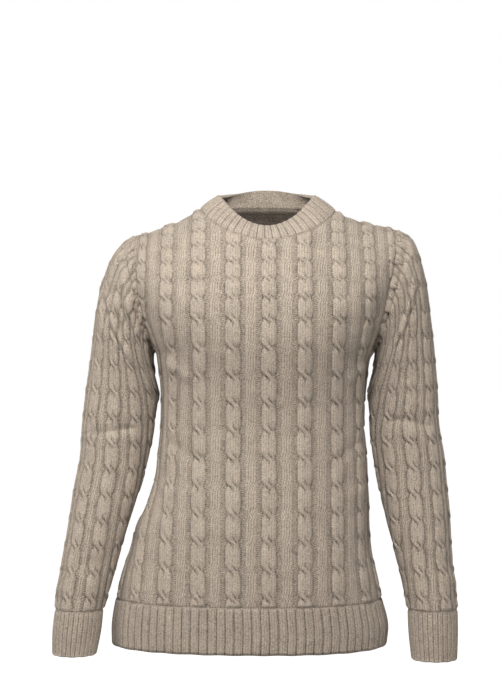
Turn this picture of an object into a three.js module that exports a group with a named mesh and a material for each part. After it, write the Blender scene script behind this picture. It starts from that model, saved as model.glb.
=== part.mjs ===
import * as THREE from 'three';

// Sweater with cables, worn shape, hollow. Lengths in mm.
// The front faces -Y, +X is on the right of the front view, +Z is up.
// The origin is in the neck opening at shoulder height.

// Cloth
const WALL = 2.2;
const SEAM_GAP = 0.3;
const HALF_WALL = WALL / 2;
const HALF_GAP = SEAM_GAP / 2;

// Torso form
const CENTRE_X = 3;
const SIDE_Y = 5;
const SECTION_POWER = 2.35;
const ROOF_START_Z = -150;
const ROOF_POWER = 1.6;
const UNDERARM_Z = -204;
const BODY_HEM_Z = -548;
const HEM_END_Z = -612;
const NECK_HALF_S = 95;
const NECK_FRONT_Z = -54;
const NECK_BACK_Z = -3;
const ARMHOLE_HALF_DEPTH = 53;
const ARMHOLE_BLEND = 60;

const TORSO = [
  { z: -150, left: -187, right: 185, front: -121, back: 92 },
  { z: -180, left: -167, right: 162, front: -122, back: 89 },
  { z: -204, left: -152, right: 148, front: -119, back: 86 },
  { z: -216, left: -149, right: 142, front: -116, back: 84 },
  { z: -250, left: -144, right: 137, front: -107, back: 80 },
  { z: -281, left: -143.5, right: 134.5, front: -101, back: 78 },
  { z: -315, left: -144.5, right: 134.5, front: -98, back: 78 },
  { z: -349, left: -148, right: 137.5, front: -99, back: 81 },
  { z: -382, left: -152, right: 138.5, front: -102, back: 87 },
  { z: -416, left: -164, right: 140, front: -105, back: 96 },
  { z: -449, left: -178, right: 141, front: -108, back: 104 },
  { z: -483, left: -187, right: 144, front: -110, back: 110 },
  { z: -517, left: -199, right: 152, front: -111, back: 113 },
  { z: -548, left: -207, right: 159, front: -111, back: 114 },
  { z: -584, left: -213, right: 168, front: -110, back: 114 },
  { z: -612, left: -213, right: 166, front: -109, back: 113 },
];

const SHOULDER = [
  { x: -192, z: -48 },
  { x: -181, z: -44 },
  { x: -164, z: -40 },
  { x: -139, z: -31 },
  { x: -118, z: -23 },
  { x: -95, z: -9 },
  { x: -60, z: 5 },
  { x: 0, z: 14 },
  { x: 60, z: 5 },
  { x: 95, z: -9 },
  { x: 115, z: -19 },
  { x: 141, z: -27 },
  { x: 168, z: -32 },
  { x: 181, z: -36 },
  { x: 192, z: -40 },
];

// Armholes: the shoulder tip, the underarm point and the bow of the seam away from the body
const ARMHOLES = {
  left: { tipX: -181, tipZ: -44, underX: -152, underZ: UNDERARM_Z, bow: -8 },
  right: { tipX: 181, tipZ: -36, underX: 148, underZ: UNDERARM_Z, bow: 3 },
};

// Sleeves: one row per ring, from the armhole to the cuff seam
const SLEEVES = {
  left: [
    { outX: -181, outZ: -44, inX: -152, inZ: -204, y: 5, depth: 53 },
    { outX: -190.5, outZ: -50, inX: -157, inZ: -204.5, y: 5, depth: 54 },
    { outX: -201, outZ: -58.5, inX: -160.5, inZ: -208, y: 5, depth: 54 },
    { outX: -214, outZ: -76, inX: -161, inZ: -221, y: 5, depth: 53 },
    { outX: -227, outZ: -113, inX: -158, inZ: -238, y: 5, depth: 51 },
    { outX: -235.5, outZ: -155, inX: -155, inZ: -255, y: 5, depth: 49 },
    { outX: -241, outZ: -200, inX: -153.5, inZ: -273, y: 5, depth: 46 },
    { outX: -247, outZ: -250, inX: -157, inZ: -296, y: 4, depth: 44 },
    { outX: -254, outZ: -305, inX: -162, inZ: -325, y: 2, depth: 42 },
    { outX: -257, outZ: -352, inX: -169.5, inZ: -360, y: -2, depth: 40 },
    { outX: -264, outZ: -392, inX: -177, inZ: -394, y: -7, depth: 38 },
    { outX: -270.5, outZ: -434, inX: -190, inZ: -434, y: -13, depth: 37 },
    { outX: -276.5, outZ: -476, inX: -203, inZ: -476, y: -20, depth: 35 },
    { outX: -283, outZ: -517, inX: -215, inZ: -517, y: -27, depth: 33.5 },
    { outX: -289, outZ: -560, inX: -227, inZ: -560, y: -34, depth: 32 },
  ],
  right: [
    { outX: 181, outZ: -36, inX: 148, inZ: -204, y: 5, depth: 53 },
    { outX: 192.5, outZ: -43, inX: 153, inZ: -204.5, y: 5, depth: 54 },
    { outX: 203, outZ: -51.5, inX: 156, inZ: -209, y: 5, depth: 54 },
    { outX: 213, outZ: -76, inX: 155, inZ: -221, y: 5, depth: 53 },
    { outX: 222, outZ: -113, inX: 152, inZ: -238, y: 5, depth: 51 },
    { outX: 227, outZ: -155, inX: 147.5, inZ: -255, y: 5, depth: 49 },
    { outX: 232, outZ: -200, inX: 145.5, inZ: -273, y: 5, depth: 46 },
    { outX: 237, outZ: -250, inX: 147.5, inZ: -296, y: 4, depth: 44 },
    { outX: 239, outZ: -305, inX: 149.5, inZ: -325, y: 2, depth: 42 },
    { outX: 246, outZ: -352, inX: 154.5, inZ: -360, y: -2, depth: 40 },
    { outX: 249, outZ: -392, inX: 160, inZ: -394, y: -7, depth: 38 },
    { outX: 252, outZ: -434, inX: 168, inZ: -434, y: -13, depth: 37 },
    { outX: 254, outZ: -476, inX: 179, inZ: -476, y: -20, depth: 35 },
    { outX: 257, outZ: -517, inX: 190, inZ: -517, y: -27, depth: 34 },
    { outX: 261.5, outZ: -560, inX: 197.5, inZ: -560, y: -34, depth: 32 },
  ],
};

// Cuffs: rings from the cuff seam to the open end
const CUFFS = {
  left: [
    { x: -258, z: -560, y: -34, width: 31, depth: 32 },
    { x: -261, z: -590, y: -38, width: 31, depth: 31 },
    { x: -264, z: -621, y: -42, width: 28, depth: 28 },
  ],
  right: [
    { x: 229.5, z: -560, y: -34, width: 32, depth: 32 },
    { x: 230, z: -592, y: -38, width: 31.5, depth: 31 },
    { x: 231, z: -628, y: -42, width: 29, depth: 28 },
  ],
};

// Neckband: one row per height, from the seam to the folded top edge
const BAND_TOP = { x: 1, halfX: 64, frontY: -60, backY: 46, frontZ: -35, sideZ: 11, backZ: 24 };
const BAND_THICK = 4.2;

// Cable pattern: places across one repeat, heights above the ground of the cloth
const BODY_PITCH = 48;
const SLEEVE_PITCH = 33;
const BODY_CABLE = { pitch: BODY_PITCH, strand: 4.8, edge: 10, ribFeet: [-6.6, 6.6] };
const SLEEVE_CABLE = { pitch: SLEEVE_PITCH, strand: 4.2, edge: 8.6, ribFeet: [] };
const CABLE_HEIGHT = 2.6;
const CROSS_LIFT = 1.2;
const CROSS_DIP = 0.5;
const RIB_HEIGHT = 1.8;
const CROSS_STEP = 0.13;
const RELIEF_FADE = 7;

// Rows where the cables cross, as a way down the cloth from the chest level up and down
const BODY_CROSS_TOP = [54, 27, 0, -27, -54, -81, -107, -133, -162];
const BODY_CROSS_STEP = 37.3;
const SLEEVE_CROSS_STEP = 36;
const SLEEVE_CROSS_FIRST = 18;

// Ribs of the edges
const HEM_RIBS = { count: 42, height: 1.8 };
const CUFF_RIBS = { count: 30, height: 1.4 };
const NECK_RIBS = { count: 54, height: 1.6 };

const RIB_START = 6;
const CUFF_END_SHARE = 0.6;

// Neckband profile: shares of the way from the seam to the top edge
const BAND_SWELL = 0.14;
const BAND_TURN = 0.88;
const BAND_END = 1.04;

// Slope of the wall along the neck seam, as the upright part of its direction
const NECK_UPRIGHT = { shoulder: 0.83, front: 0.78, back: 0.6 };

// Folds: soft ridges (rise above 0) and troughs (below 0) along a line on the cloth.
// a1, b1 to a2, b2 are places on the piece, as for the surface functions
const FOLDS = {
  front_panel: [
    { a1: -150, b1: -222, a2: -112, b2: -240, width: 8, rise: 2.5 },
    { a1: -148, b1: -330, a2: -96, b2: -352, width: 9, rise: -2.5 },
    { a1: 146, b1: -330, a2: 100, b2: -348, width: 9, rise: -2.5 },
    { a1: 150, b1: -228, a2: 116, b2: -244, width: 8, rise: 2 },
  ],
  back_panel: [
    { a1: -136, b1: -318, a2: -48, b2: -334, width: 9, rise: -3 },
    { a1: 128, b1: -338, a2: 40, b2: -330, width: 9, rise: -3 },
    { a1: -116, b1: -160, a2: -60, b2: -214, width: 10, rise: -2.5 },
    { a1: 112, b1: -150, a2: 64, b2: -210, width: 10, rise: -2.5 },
  ],
  sleeve_left: [
    { a1: 33, b1: 22, a2: 150, b2: 13, width: 6, rise: -4 },
    { a1: 64, b1: 58, a2: 98, b2: 74, width: 6, rise: -4 },
    { a1: 76, b1: 38, a2: 124, b2: 52, width: 7, rise: 3.5 },
    { a1: 45, b1: 86, a2: 96, b2: 123, width: 7, rise: 4 },
    { a1: -40, b1: 26, a2: -140, b2: 16, width: 6, rise: -3.5 },
    { a1: -60, b1: 58, a2: -108, b2: 76, width: 7, rise: 3.5 },
    { a1: 92, b1: 268, a2: 40, b2: 292, width: 7, rise: -3 },
  ],
  sleeve_right: [
    { a1: 40, b1: 20, a2: 150, b2: 15, width: 6, rise: -3 },
    { a1: 58, b1: 56, a2: 112, b2: 90, width: 7, rise: 3 },
    { a1: -44, b1: 24, a2: -138, b2: 15, width: 6, rise: -3.5 },
    { a1: -58, b1: 62, a2: -110, b2: 88, width: 7, rise: 3 },
    { a1: 90, b1: 256, a2: 38, b2: 284, width: 7, rise: -3 },
  ],
};
const FOLD_STATION = 20;
const FOLD_FOOT = 1.5;
const FOLD_FADE = 12;

// Mesh spacing
const INNER_STEP = 45;
const ROW_SQUASH = 0.25;
const PROFILE_STEPS = 48;
const RINGS_PER_ROW = 10;
const EDGE_CLEAR = 2.5;
const FOLD_CLEAR = 5;
const CROWD_CLEAR = 0.4;
const HALVINGS = 14;
const HEM_STATIONS = 64;
const SIDE_STATIONS = 29;
const ARMHOLE_STATIONS = 18;
const SHOULDER_STATIONS = 8;
const NECK_STATIONS = 26;
const UNDERARM_STATIONS = 36;
const CUFF_STATIONS = 40;

const COLOUR = 0x97897b;

const clamp = (v, lo, hi) => Math.min(hi, Math.max(lo, v));

const smooth = (v) => {
  const c = clamp(v, 0, 1);
  return c * c * (3 - 2 * c);
};

// Smooth curve through the rows of a table, one column against another
function column(rows, key, name) {
  const list = rows.map((row) => [row[key], row[name]]).sort((a, b) => a[0] - b[0]);
  const slope = list.map((p, i) => {
    const a = list[Math.max(0, i - 1)];
    const b = list[Math.min(list.length - 1, i + 1)];
    return (b[1] - a[1]) / (b[0] - a[0]);
  });
  return (at) => {
    const v = clamp(at, list[0][0], list[list.length - 1][0]);
    let i = 0;
    while (i < list.length - 2 && v > list[i + 1][0]) i += 1;
    const [x0, y0] = list[i];
    const [x1, y1] = list[i + 1];
    const w = x1 - x0;
    const t = (v - x0) / w;
    const t2 = t * t;
    const t3 = t2 * t;
    return (2 * t3 - 3 * t2 + 1) * y0 + (t3 - 2 * t2 + t) * w * slope[i]
      + (3 * t2 - 2 * t3) * y1 + (t3 - t2) * w * slope[i + 1];
  };
}

const torsoLeft = column(TORSO, 'z', 'left');
const torsoRight = column(TORSO, 'z', 'right');
const torsoFront = column(TORSO, 'z', 'front');
const torsoBack = column(TORSO, 'z', 'back');
const shoulderZ = column(SHOULDER, 'x', 'z');

// Cross-section of the torso: quarter curves with their length from the centre line
const quarterCache = new Map();
function quarter(z, sideways, facing) {
  const id = `${z.toFixed(3)},${sideways},${facing}`;
  if (!quarterCache.has(id)) {
    const a = sideways < 0 ? CENTRE_X - torsoLeft(z) : torsoRight(z) - CENTRE_X;
    const b = facing < 0 ? SIDE_Y - torsoFront(z) : torsoBack(z) - SIDE_Y;
    const points = [];
    let length = 0;
    for (let i = 0; i <= PROFILE_STEPS; i += 1) {
      const turn = (Math.PI / 2) * (i / PROFILE_STEPS);
      const x = a * Math.sin(turn) ** (2 / SECTION_POWER);
      const y = b * Math.max(0, Math.cos(turn)) ** (2 / SECTION_POWER);
      if (i > 0) length += Math.hypot(x - points[i - 1].x, y - points[i - 1].y);
      points.push({ x, y, length });
    }
    points[PROFILE_STEPS].y = 0;
    quarterCache.set(id, points);
  }
  return quarterCache.get(id);
}

function along(points, key, value) {
  const last = points.length - 1;
  let i = 1;
  while (i < last && points[i][key] < value) i += 1;
  const a = points[i - 1];
  const b = points[i];
  const t = clamp((value - a[key]) / (b[key] - a[key]), 0, 1);
  return {
    x: a.x + (b.x - a.x) * t,
    y: a.y + (b.y - a.y) * t,
    length: a.length + (b.length - a.length) * t,
  };
}

// Point of the plain section at a length from the centre line
function sectionPoint(s, z, facing) {
  const sideways = s < 0 ? -1 : 1;
  const p = along(quarter(z, sideways, facing), 'length', Math.abs(s));
  return { x: CENTRE_X + sideways * p.x, y: SIDE_Y + facing * p.y };
}

function lengthAtX(x, z, facing) {
  const sideways = x < CENTRE_X ? -1 : 1;
  return sideways * along(quarter(z, sideways, facing), 'x', Math.abs(x - CENTRE_X)).length;
}

function fullLength(z, sideways, facing) {
  const points = quarter(z, sideways, facing);
  return sideways * points[points.length - 1].length;
}

// Armhole seam: a ring through the shoulder tip and the underarm point, at a turn from the tip
function armholePoint(side, turn) {
  const h = ARMHOLES[side];
  const c = Math.cos(turn);
  const s = Math.sin(turn);
  return new THREE.Vector3(
    (h.tipX + h.underX) / 2 + ((h.tipX - h.underX) / 2) * c + h.bow * s * s,
    SIDE_Y - ARMHOLE_HALF_DEPTH * s,
    (h.tipZ + h.underZ) / 2 + ((h.tipZ - h.underZ) / 2) * c,
  );
}

function armholeOut(side, turn) {
  const h = ARMHOLES[side];
  const half = new THREE.Vector3((h.tipX - h.underX) / 2, 0, (h.tipZ - h.underZ) / 2);
  const out = half.clone().multiplyScalar(Math.cos(turn) / half.lengthSq());
  out.y -= Math.sin(turn) / ARMHOLE_HALF_DEPTH;
  return out.normalize();
}

// Height of the chest-to-shoulder slope for a way up the cloth, at one x
const roofCache = new Map();
function roofProfile(x, facing) {
  const id = `${x.toFixed(2)},${facing}`;
  if (!roofCache.has(id)) {
    const top = shoulderZ(x);
    const rise = top - ROOF_START_Z;
    const start = sectionPoint(lengthAtX(x, ROOF_START_Z, facing), ROOF_START_Z, facing);
    const base = Math.abs(start.y - SIDE_Y);
    const points = [];
    let length = 0;
    for (let i = 0; i <= PROFILE_STEPS; i += 1) {
      const q = Math.sin((Math.PI / 2) * (i / PROFILE_STEPS));
      const y = base * Math.max(0, 1 - q ** ROOF_POWER) ** (1 / ROOF_POWER);
      const z = ROOF_START_Z + rise * q;
      if (i > 0) length += Math.hypot(z - points[i - 1].x, y - points[i - 1].y);
      points.push({ x: z, y, length, q });
    }
    roofCache.set(id, points);
  }
  return roofCache.get(id);
}

// Point on the middle of the cloth of a body panel: s from the centre line, t up the cloth
function bodyPoint(facing, s, t) {
  let z = t;
  let factor = 1;
  if (t > ROOF_START_Z) {
    const x = sectionPoint(s, ROOF_START_Z, facing).x;
    const profile = roofProfile(x, facing);
    const p = along(profile, 'length', t - ROOF_START_Z);
    z = p.x;
    factor = p.y / Math.max(1e-6, profile[0].y);
  }
  const flat = sectionPoint(s, Math.min(z, ROOF_START_Z), facing);
  return new THREE.Vector3(flat.x, SIDE_Y + (flat.y - SIDE_Y) * factor, z);
}

function roofTop(s, facing) {
  const profile = roofProfile(sectionPoint(s, ROOF_START_Z, facing).x, facing);
  return ROOF_START_Z + profile[profile.length - 1].length;
}

function heightToWay(s, z, facing) {
  if (z <= ROOF_START_Z) return z;
  const profile = roofProfile(sectionPoint(s, ROOF_START_Z, facing).x, facing);
  return ROOF_START_Z + along(profile, 'x', z).length;
}

// Edge of a body panel at an armhole, as places on the panel for turns round the ring
const armholeEdges = new Map();
function armholeEdge(side, facing) {
  const id = `${side},${facing}`;
  if (!armholeEdges.has(id)) {
    const rows = [];
    for (let i = 0; i <= PROFILE_STEPS; i += 1) {
      const turn = Math.PI * (1 - i / PROFILE_STEPS);
      const place = armholePlace(side, facing, turn);
      rows.push({ ...place, turn });
    }
    armholeEdges.set(id, rows);
  }
  return armholeEdges.get(id);
}

function armholePlace(side, facing, turn) {
  const p = armholePoint(side, turn);
  const s = lengthAtX(p.x, Math.min(p.z, ROOF_START_Z), facing);
  return { s, t: heightToWay(s, p.z, facing) };
}

// Body point moved so that the panel edge runs in the armhole ring
function panelPoint(facing, s, t) {
  const p = bodyPoint(facing, s, t);
  if (t <= UNDERARM_Z) return p;
  const side = s < 0 ? 'left' : 'right';
  const rows = armholeEdge(side, facing);
  let i = 1;
  while (i < rows.length - 1 && rows[i].t < t) i += 1;
  const k = clamp((t - rows[i - 1].t) / (rows[i].t - rows[i - 1].t), 0, 1);
  const edge = rows[i - 1].s + (rows[i].s - rows[i - 1].s) * k;
  const turn = rows[i - 1].turn + (rows[i].turn - rows[i - 1].turn) * k;
  const weight = smooth(1 - (Math.abs(edge) - Math.abs(s)) / ARMHOLE_BLEND);
  if (weight === 0) return p;
  const target = armholePoint(side, -facing * turn);
  const from = bodyPoint(facing, edge, Math.min(t, rows[rows.length - 1].t));
  return p.addScaledVector(target.sub(from), weight);
}

// Outward direction of a surface given by a point function
function outward(point, a, b, flip) {
  const da = point(a + 1, b).sub(point(a - 1, b));
  const db = point(a, b + 1).sub(point(a, b - 1));
  return da.cross(db).multiplyScalar(flip).normalize();
}

// Triangles of a flat outline with points inside it
function triangulate(edge, inside) {
  const all = [...edge, ...inside];
  const pts = all.map((p, i) => ({
    x: p.a + 1e-4 * Math.sin(12.9898 * i),
    y: p.b * ROW_SQUASH + 1e-4 * Math.cos(78.233 * i),
  }));
  const n = pts.length;
  const far = 1e5;
  pts.push({ x: -far, y: -far }, { x: far, y: -far }, { x: 0, y: far });
  const circle = (i, j, k) => {
    const [A, B, C] = [pts[i], pts[j], pts[k]];
    const d = 2 * (A.x * (B.y - C.y) + B.x * (C.y - A.y) + C.x * (A.y - B.y));
    const a2 = A.x * A.x + A.y * A.y;
    const b2 = B.x * B.x + B.y * B.y;
    const c2 = C.x * C.x + C.y * C.y;
    const x = (a2 * (B.y - C.y) + b2 * (C.y - A.y) + c2 * (A.y - B.y)) / d;
    const y = (a2 * (C.x - B.x) + b2 * (A.x - C.x) + c2 * (B.x - A.x)) / d;
    return { v: [i, j, k], x, y, r: (A.x - x) ** 2 + (A.y - y) ** 2 };
  };
  let faces = [circle(n, n + 1, n + 2)];
  for (let i = 0; i < n; i += 1) {
    const p = pts[i];
    const keep = [];
    const rim = new Map();
    faces.forEach((f) => {
      if ((p.x - f.x) ** 2 + (p.y - f.y) ** 2 >= f.r) {
        keep.push(f);
        return;
      }
      for (let e = 0; e < 3; e += 1) {
        const a = f.v[e];
        const b = f.v[(e + 1) % 3];
        if (!rim.delete(`${b},${a}`)) rim.set(`${a},${b}`, [a, b]);
      }
    });
    rim.forEach(([a, b]) => keep.push(circle(a, b, i)));
    faces = keep;
  }
  const within = (x, y) => {
    let odd = false;
    for (let i = 0, j = edge.length - 1; i < edge.length; j = i, i += 1) {
      const [A, B] = [pts[i], pts[j]];
      if ((A.y > y) !== (B.y > y) && x < ((B.x - A.x) * (y - A.y)) / (B.y - A.y) + A.x) odd = !odd;
    }
    return odd;
  };
  return faces
    .filter((f) => f.v.every((i) => i < n))
    .filter((f) => {
      const [A, B, C] = f.v.map((i) => pts[i]);
      return within((A.x + B.x + C.x) / 3, (A.y + B.y + C.y) / 3);
    })
    .map((f) => {
      const [A, B, C] = f.v.map((i) => pts[i]);
      const area = (B.x - A.x) * (C.y - A.y) - (C.x - A.x) * (B.y - A.y);
      return area > 0 ? f.v : [f.v[0], f.v[2], f.v[1]];
    });
}

function edgeDistance(edge, p, squash) {
  let best = Infinity;
  for (let i = 0; i < edge.length; i += 1) {
    const A = edge[i];
    const B = edge[(i + 1) % edge.length];
    const dx = B.a - A.a;
    const dy = (B.b - A.b) * squash;
    const px = p.a - A.a;
    const py = (p.b - A.b) * squash;
    const k = clamp((px * dx + py * dy) / (dx * dx + dy * dy), 0, 1);
    best = Math.min(best, Math.hypot(px - k * dx, py - k * dy));
  }
  return best;
}

function crowds(edge, p) {
  return edge.some((A, i) => {
    const B = edge[(i + 1) % edge.length];
    const mx = (A.a + B.a) / 2;
    const my = ((A.b + B.b) / 2) * ROW_SQUASH;
    const r = Math.hypot(B.a - A.a, (B.b - A.b) * ROW_SQUASH) / 2 + CROWD_CLEAR;
    return Math.hypot(p.a - mx, p.b * ROW_SQUASH - my) < r;
  });
}

function inOutline(edge, p) {
  let odd = false;
  for (let i = 0, j = edge.length - 1; i < edge.length; j = i, i += 1) {
    const [A, B] = [edge[i], edge[j]];
    const cut = ((B.a - A.a) * (p.b - A.b)) / (B.b - A.b) + A.a;
    if ((A.b > p.b) !== (B.b > p.b) && p.a < cut) odd = !odd;
  }
  return odd;
}

function material(name) {
  const m = new THREE.MeshStandardMaterial({ color: COLOUR, roughness: 0.95, metalness: 0 });
  m.name = name;
  return m;
}

function solid(name, points, faces) {
  const geometry = new THREE.BufferGeometry();
  const flat = points.flatMap((p) => [p.x, p.y, p.z]);
  geometry.setAttribute('position', new THREE.Float32BufferAttribute(flat, 3));
  geometry.setIndex(faces.flat());
  geometry.computeVertexNormals();
  const mesh = new THREE.Mesh(geometry, material(name));
  mesh.name = name;
  return mesh;
}

// Rise of the folds of a piece at one place
function foldRise(folds, p) {
  return folds.reduce((sum, f) => {
    const [da, db] = [f.a2 - f.a1, f.b2 - f.b1];
    const k = clamp(((p.a - f.a1) * da + (p.b - f.b1) * db) / (da * da + db * db), 0, 1);
    const off = Math.hypot(p.a - f.a1 - k * da, p.b - f.b1 - k * db) / f.width;
    return sum + f.rise * Math.exp(-off * off);
  }, 0);
}

// Places along the line of each fold and along its two feet
function foldLattice(folds) {
  const list = [];
  folds.forEach((f) => {
    const [da, db] = [f.a2 - f.a1, f.b2 - f.b1];
    const length = Math.hypot(da, db);
    const count = Math.max(1, Math.round(length / FOLD_STATION));
    for (let i = 0; i <= count; i += 1) {
      [-1, 0, 1].forEach((side) => {
        const foot = (side * FOLD_FOOT * f.width) / length;
        const p = { a: f.a1 + (da * i) / count - db * foot, b: f.b1 + (db * i) / count + da * foot, h: 0 };
        if (list.every((q) => Math.hypot(p.a - q.a, p.b - q.b) > FOLD_CLEAR)) list.push(p);
      });
    }
  });
  return list;
}

// Cloth with relief on its outer side and a plain inner side.
// edge: places round the piece, each with its two 3-D points; join marks the edges sewn to themselves
function clothSolid(name, edge, outer, inner, surface, flip) {
  const free = (p) => inOutline(edge, p) && !crowds(edge, p) && edgeDistance(edge, p, 1) > EDGE_CLEAR;
  const folded = foldLattice(FOLDS[name]);
  const spare = (p) => folded.every((q) => Math.hypot(p.a - q.a, p.b - q.b) > FOLD_CLEAR);
  const outerIn = [...folded, ...outer.filter(spare)].filter(free);
  const innerIn = [...folded, ...inner.filter(spare)].filter(free);
  const bend = (p) => foldRise(FOLDS[name], p) * smooth(edgeDistance(edge, p, 1) / FOLD_FADE);
  const points = [];
  const outFaces = triangulate(edge, outerIn);
  const inFaces = triangulate(edge, innerIn);
  edge.forEach((p) => points.push(p.out));
  outerIn.forEach((p) => {
    const n = outward(surface, p.a, p.b, flip);
    const lift = p.h * smooth(edgeDistance(edge, p, 1) / RELIEF_FADE);
    points.push(surface(p.a, p.b).addScaledVector(n, HALF_WALL + lift + bend(p)));
  });
  const innerStart = points.length;
  edge.forEach((p) => points.push(p.in));
  innerIn.forEach((p) => {
    const n = outward(surface, p.a, p.b, flip);
    points.push(surface(p.a, p.b).addScaledVector(n, bend(p) - HALF_WALL));
  });
  const faces = outFaces.map((f) => (flip > 0 ? f : [f[0], f[2], f[1]]));
  inFaces.forEach((f) => {
    const g = f.map((i) => i + innerStart);
    faces.push(flip > 0 ? [g[0], g[2], g[1]] : g);
  });
  edge.forEach((p, i) => {
    const j = (i + 1) % edge.length;
    if (p.join && edge[j].joinEnd) return;
    const quad = [i, innerStart + i, innerStart + j, j];
    const up = flip > 0 ? quad : [...quad].reverse();
    faces.push([up[0], up[1], up[2]], [up[0], up[2], up[3]]);
  });
  return solid(name, points, faces);
}

const vec = (x, y, z) => new THREE.Vector3(x, y, z);

// One place on the edge of a piece: middle point, wall direction and shift for the seam gap
function rimPlace(a, b, middle, direction, shift, tags = {}) {
  const base = middle.clone().add(shift);
  return {
    a,
    b,
    out: base.clone().addScaledVector(direction, HALF_WALL),
    in: base.clone().addScaledVector(direction, -HALF_WALL),
    ...tags,
  };
}

function sideNormal(sideways, z) {
  const edge = sideways < 0 ? torsoLeft : torsoRight;
  return vec(sideways, 0, -sideways * (edge(z + 1) - edge(z - 1)) / 2).normalize();
}

function levelNormal(s, z, facing) {
  const reach = Math.abs(fullLength(z, s < 0 ? -1 : 1, facing));
  const lo = sectionPoint(clamp(s - 1, -reach, reach), z, facing);
  const hi = sectionPoint(clamp(s + 1, -reach, reach), z, facing);
  return vec((hi.y - lo.y) * -facing, (hi.x - lo.x) * facing, 0).normalize();
}

// Neck seam: turn 0 at the right shoulder, half a turn at the left shoulder
function neckPlace(turn, facing) {
  const s = NECK_HALF_S * Math.cos(turn);
  const share = (1 + Math.cos(turn)) / 2;
  const top = roofTop(-NECK_HALF_S, facing) * (1 - share) + roofTop(NECK_HALF_S, facing) * share;
  const low = heightToWay(0, facing < 0 ? NECK_FRONT_Z : NECK_BACK_Z, facing);
  return { s, t: top + (low - top) * Math.sin(turn) };
}

function neckOut(turn, facing) {
  const middle = facing < 0 ? NECK_UPRIGHT.front : NECK_UPRIGHT.back;
  const up = NECK_UPRIGHT.shoulder + (middle - NECK_UPRIGHT.shoulder) * Math.sin(turn);
  const flat = Math.sqrt(1 - up * up);
  return vec(Math.cos(turn) * flat, facing * Math.sin(turn) * flat, up);
}

function neckSeamPoint(turn, facing) {
  const p = neckPlace(turn, facing);
  return bodyPoint(facing, p.s, p.t);
}

// Outline of a body panel, counter-clockwise from the left end of the hem
function panelEdge(facing) {
  const list = [];
  const seamY = vec(0, facing * HALF_GAP, 0);
  const lift = vec(0, 0, HALF_GAP);
  const reach = (sideways, z) => fullLength(z, sideways, facing);
  for (let i = 0; i <= HEM_STATIONS; i += 1) {
    const s = reach(-1, BODY_HEM_Z) + (reach(1, BODY_HEM_Z) - reach(-1, BODY_HEM_Z)) * (i / HEM_STATIONS);
    const corner = i === 0 || i === HEM_STATIONS;
    const normal = corner ? vec(i === 0 ? -1 : 1, 0, 0) : levelNormal(s, BODY_HEM_Z, facing);
    const shift = corner ? lift.clone().add(seamY) : lift;
    list.push(rimPlace(s, BODY_HEM_Z, bodyPoint(facing, s, BODY_HEM_Z), normal, shift));
  }
  const side = (sideways, i) => {
    const z = BODY_HEM_Z + (UNDERARM_Z - BODY_HEM_Z) * (i / SIDE_STATIONS);
    const s = reach(sideways, z);
    list.push(rimPlace(s, z, bodyPoint(facing, s, z), sideNormal(sideways, z), seamY));
  };
  const armhole = (name, i) => {
    const turn = Math.PI * (1 - i / ARMHOLE_STATIONS);
    const place = armholePlace(name, facing, turn);
    const inward = vec(name === 'left' ? HALF_GAP : -HALF_GAP, 0, 0);
    if (i === 0 || i === ARMHOLE_STATIONS) inward.add(seamY);
    const ring = -facing * turn;
    list.push(rimPlace(place.s, place.t, armholePoint(name, ring), armholeOut(name, ring), inward));
  };
  const shoulder = (name, i) => {
    const sideways = name === 'left' ? -1 : 1;
    const tip = armholePlace(name, facing, 0).s;
    const s = tip + (sideways * NECK_HALF_S - tip) * (i / SHOULDER_STATIONS);
    const p = bodyPoint(facing, s, roofTop(s, facing));
    const slope = shoulderZ(p.x + 1) - shoulderZ(p.x - 1);
    list.push(rimPlace(s, roofTop(s, facing), p, vec(-slope / 2, 0, 1).normalize(), seamY));
  };
  const neck = (i) => {
    const turn = Math.PI * (i / NECK_STATIONS);
    const place = neckPlace(turn, facing);
    const away = vec(Math.cos(turn), facing * Math.sin(turn), 0).multiplyScalar(HALF_GAP);
    if (i === 0 || i === NECK_STATIONS) away.add(seamY);
    list.push(rimPlace(place.s, place.t, neckSeamPoint(turn, facing), neckOut(turn, facing), away));
  };
  for (let i = 1; i < SIDE_STATIONS; i += 1) side(1, i);
  for (let i = 0; i <= ARMHOLE_STATIONS; i += 1) armhole('right', i);
  for (let i = 1; i < SHOULDER_STATIONS; i += 1) shoulder('right', i);
  for (let i = 0; i <= NECK_STATIONS; i += 1) neck(i);
  for (let i = SHOULDER_STATIONS - 1; i > 0; i -= 1) shoulder('left', i);
  for (let i = ARMHOLE_STATIONS; i >= 0; i -= 1) armhole('left', i);
  for (let i = SIDE_STATIONS - 1; i > 0; i -= 1) side(-1, i);
  return list;
}

// Places and heights of the cable pattern; rows is a list of crossing levels, way by way
function cableLattice(pattern, rows, columns, lean) {
  const list = [];
  for (let k = -columns; k <= columns; k += 1) {
    const c = k * pattern.pitch;
    const r = c + pattern.pitch / 2;
    for (let i = 0; i < rows.length - 1; i += 1) {
      const b = rows[i];
      const step = rows[i + 1] - rows[i];
      const back = i > 0 ? rows[i] - rows[i - 1] : step;
      const mid = b + step / 2;
      const front = CABLE_HEIGHT + CROSS_LIFT;
      const low = CABLE_HEIGHT * CROSS_DIP;
      list.push({ a: c - lean * pattern.strand, b: b - back * CROSS_STEP, h: front });
      list.push({ a: c + lean * pattern.strand, b: b - back * CROSS_STEP, h: low });
      list.push({ a: c + lean * pattern.strand, b: b + step * CROSS_STEP, h: front });
      list.push({ a: c - lean * pattern.strand, b: b + step * CROSS_STEP, h: low });
      [-1, 1].forEach((side) => {
        list.push({ a: c + side * pattern.strand, b: mid, h: CABLE_HEIGHT });
        list.push({ a: c + side * pattern.edge, b: mid, h: 0 });
      });
      list.push({ a: r, b: mid, h: RIB_HEIGHT });
      pattern.ribFeet.forEach((foot) => list.push({ a: r + foot, b: mid, h: 0 }));
    }
  }
  return list;
}

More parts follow.
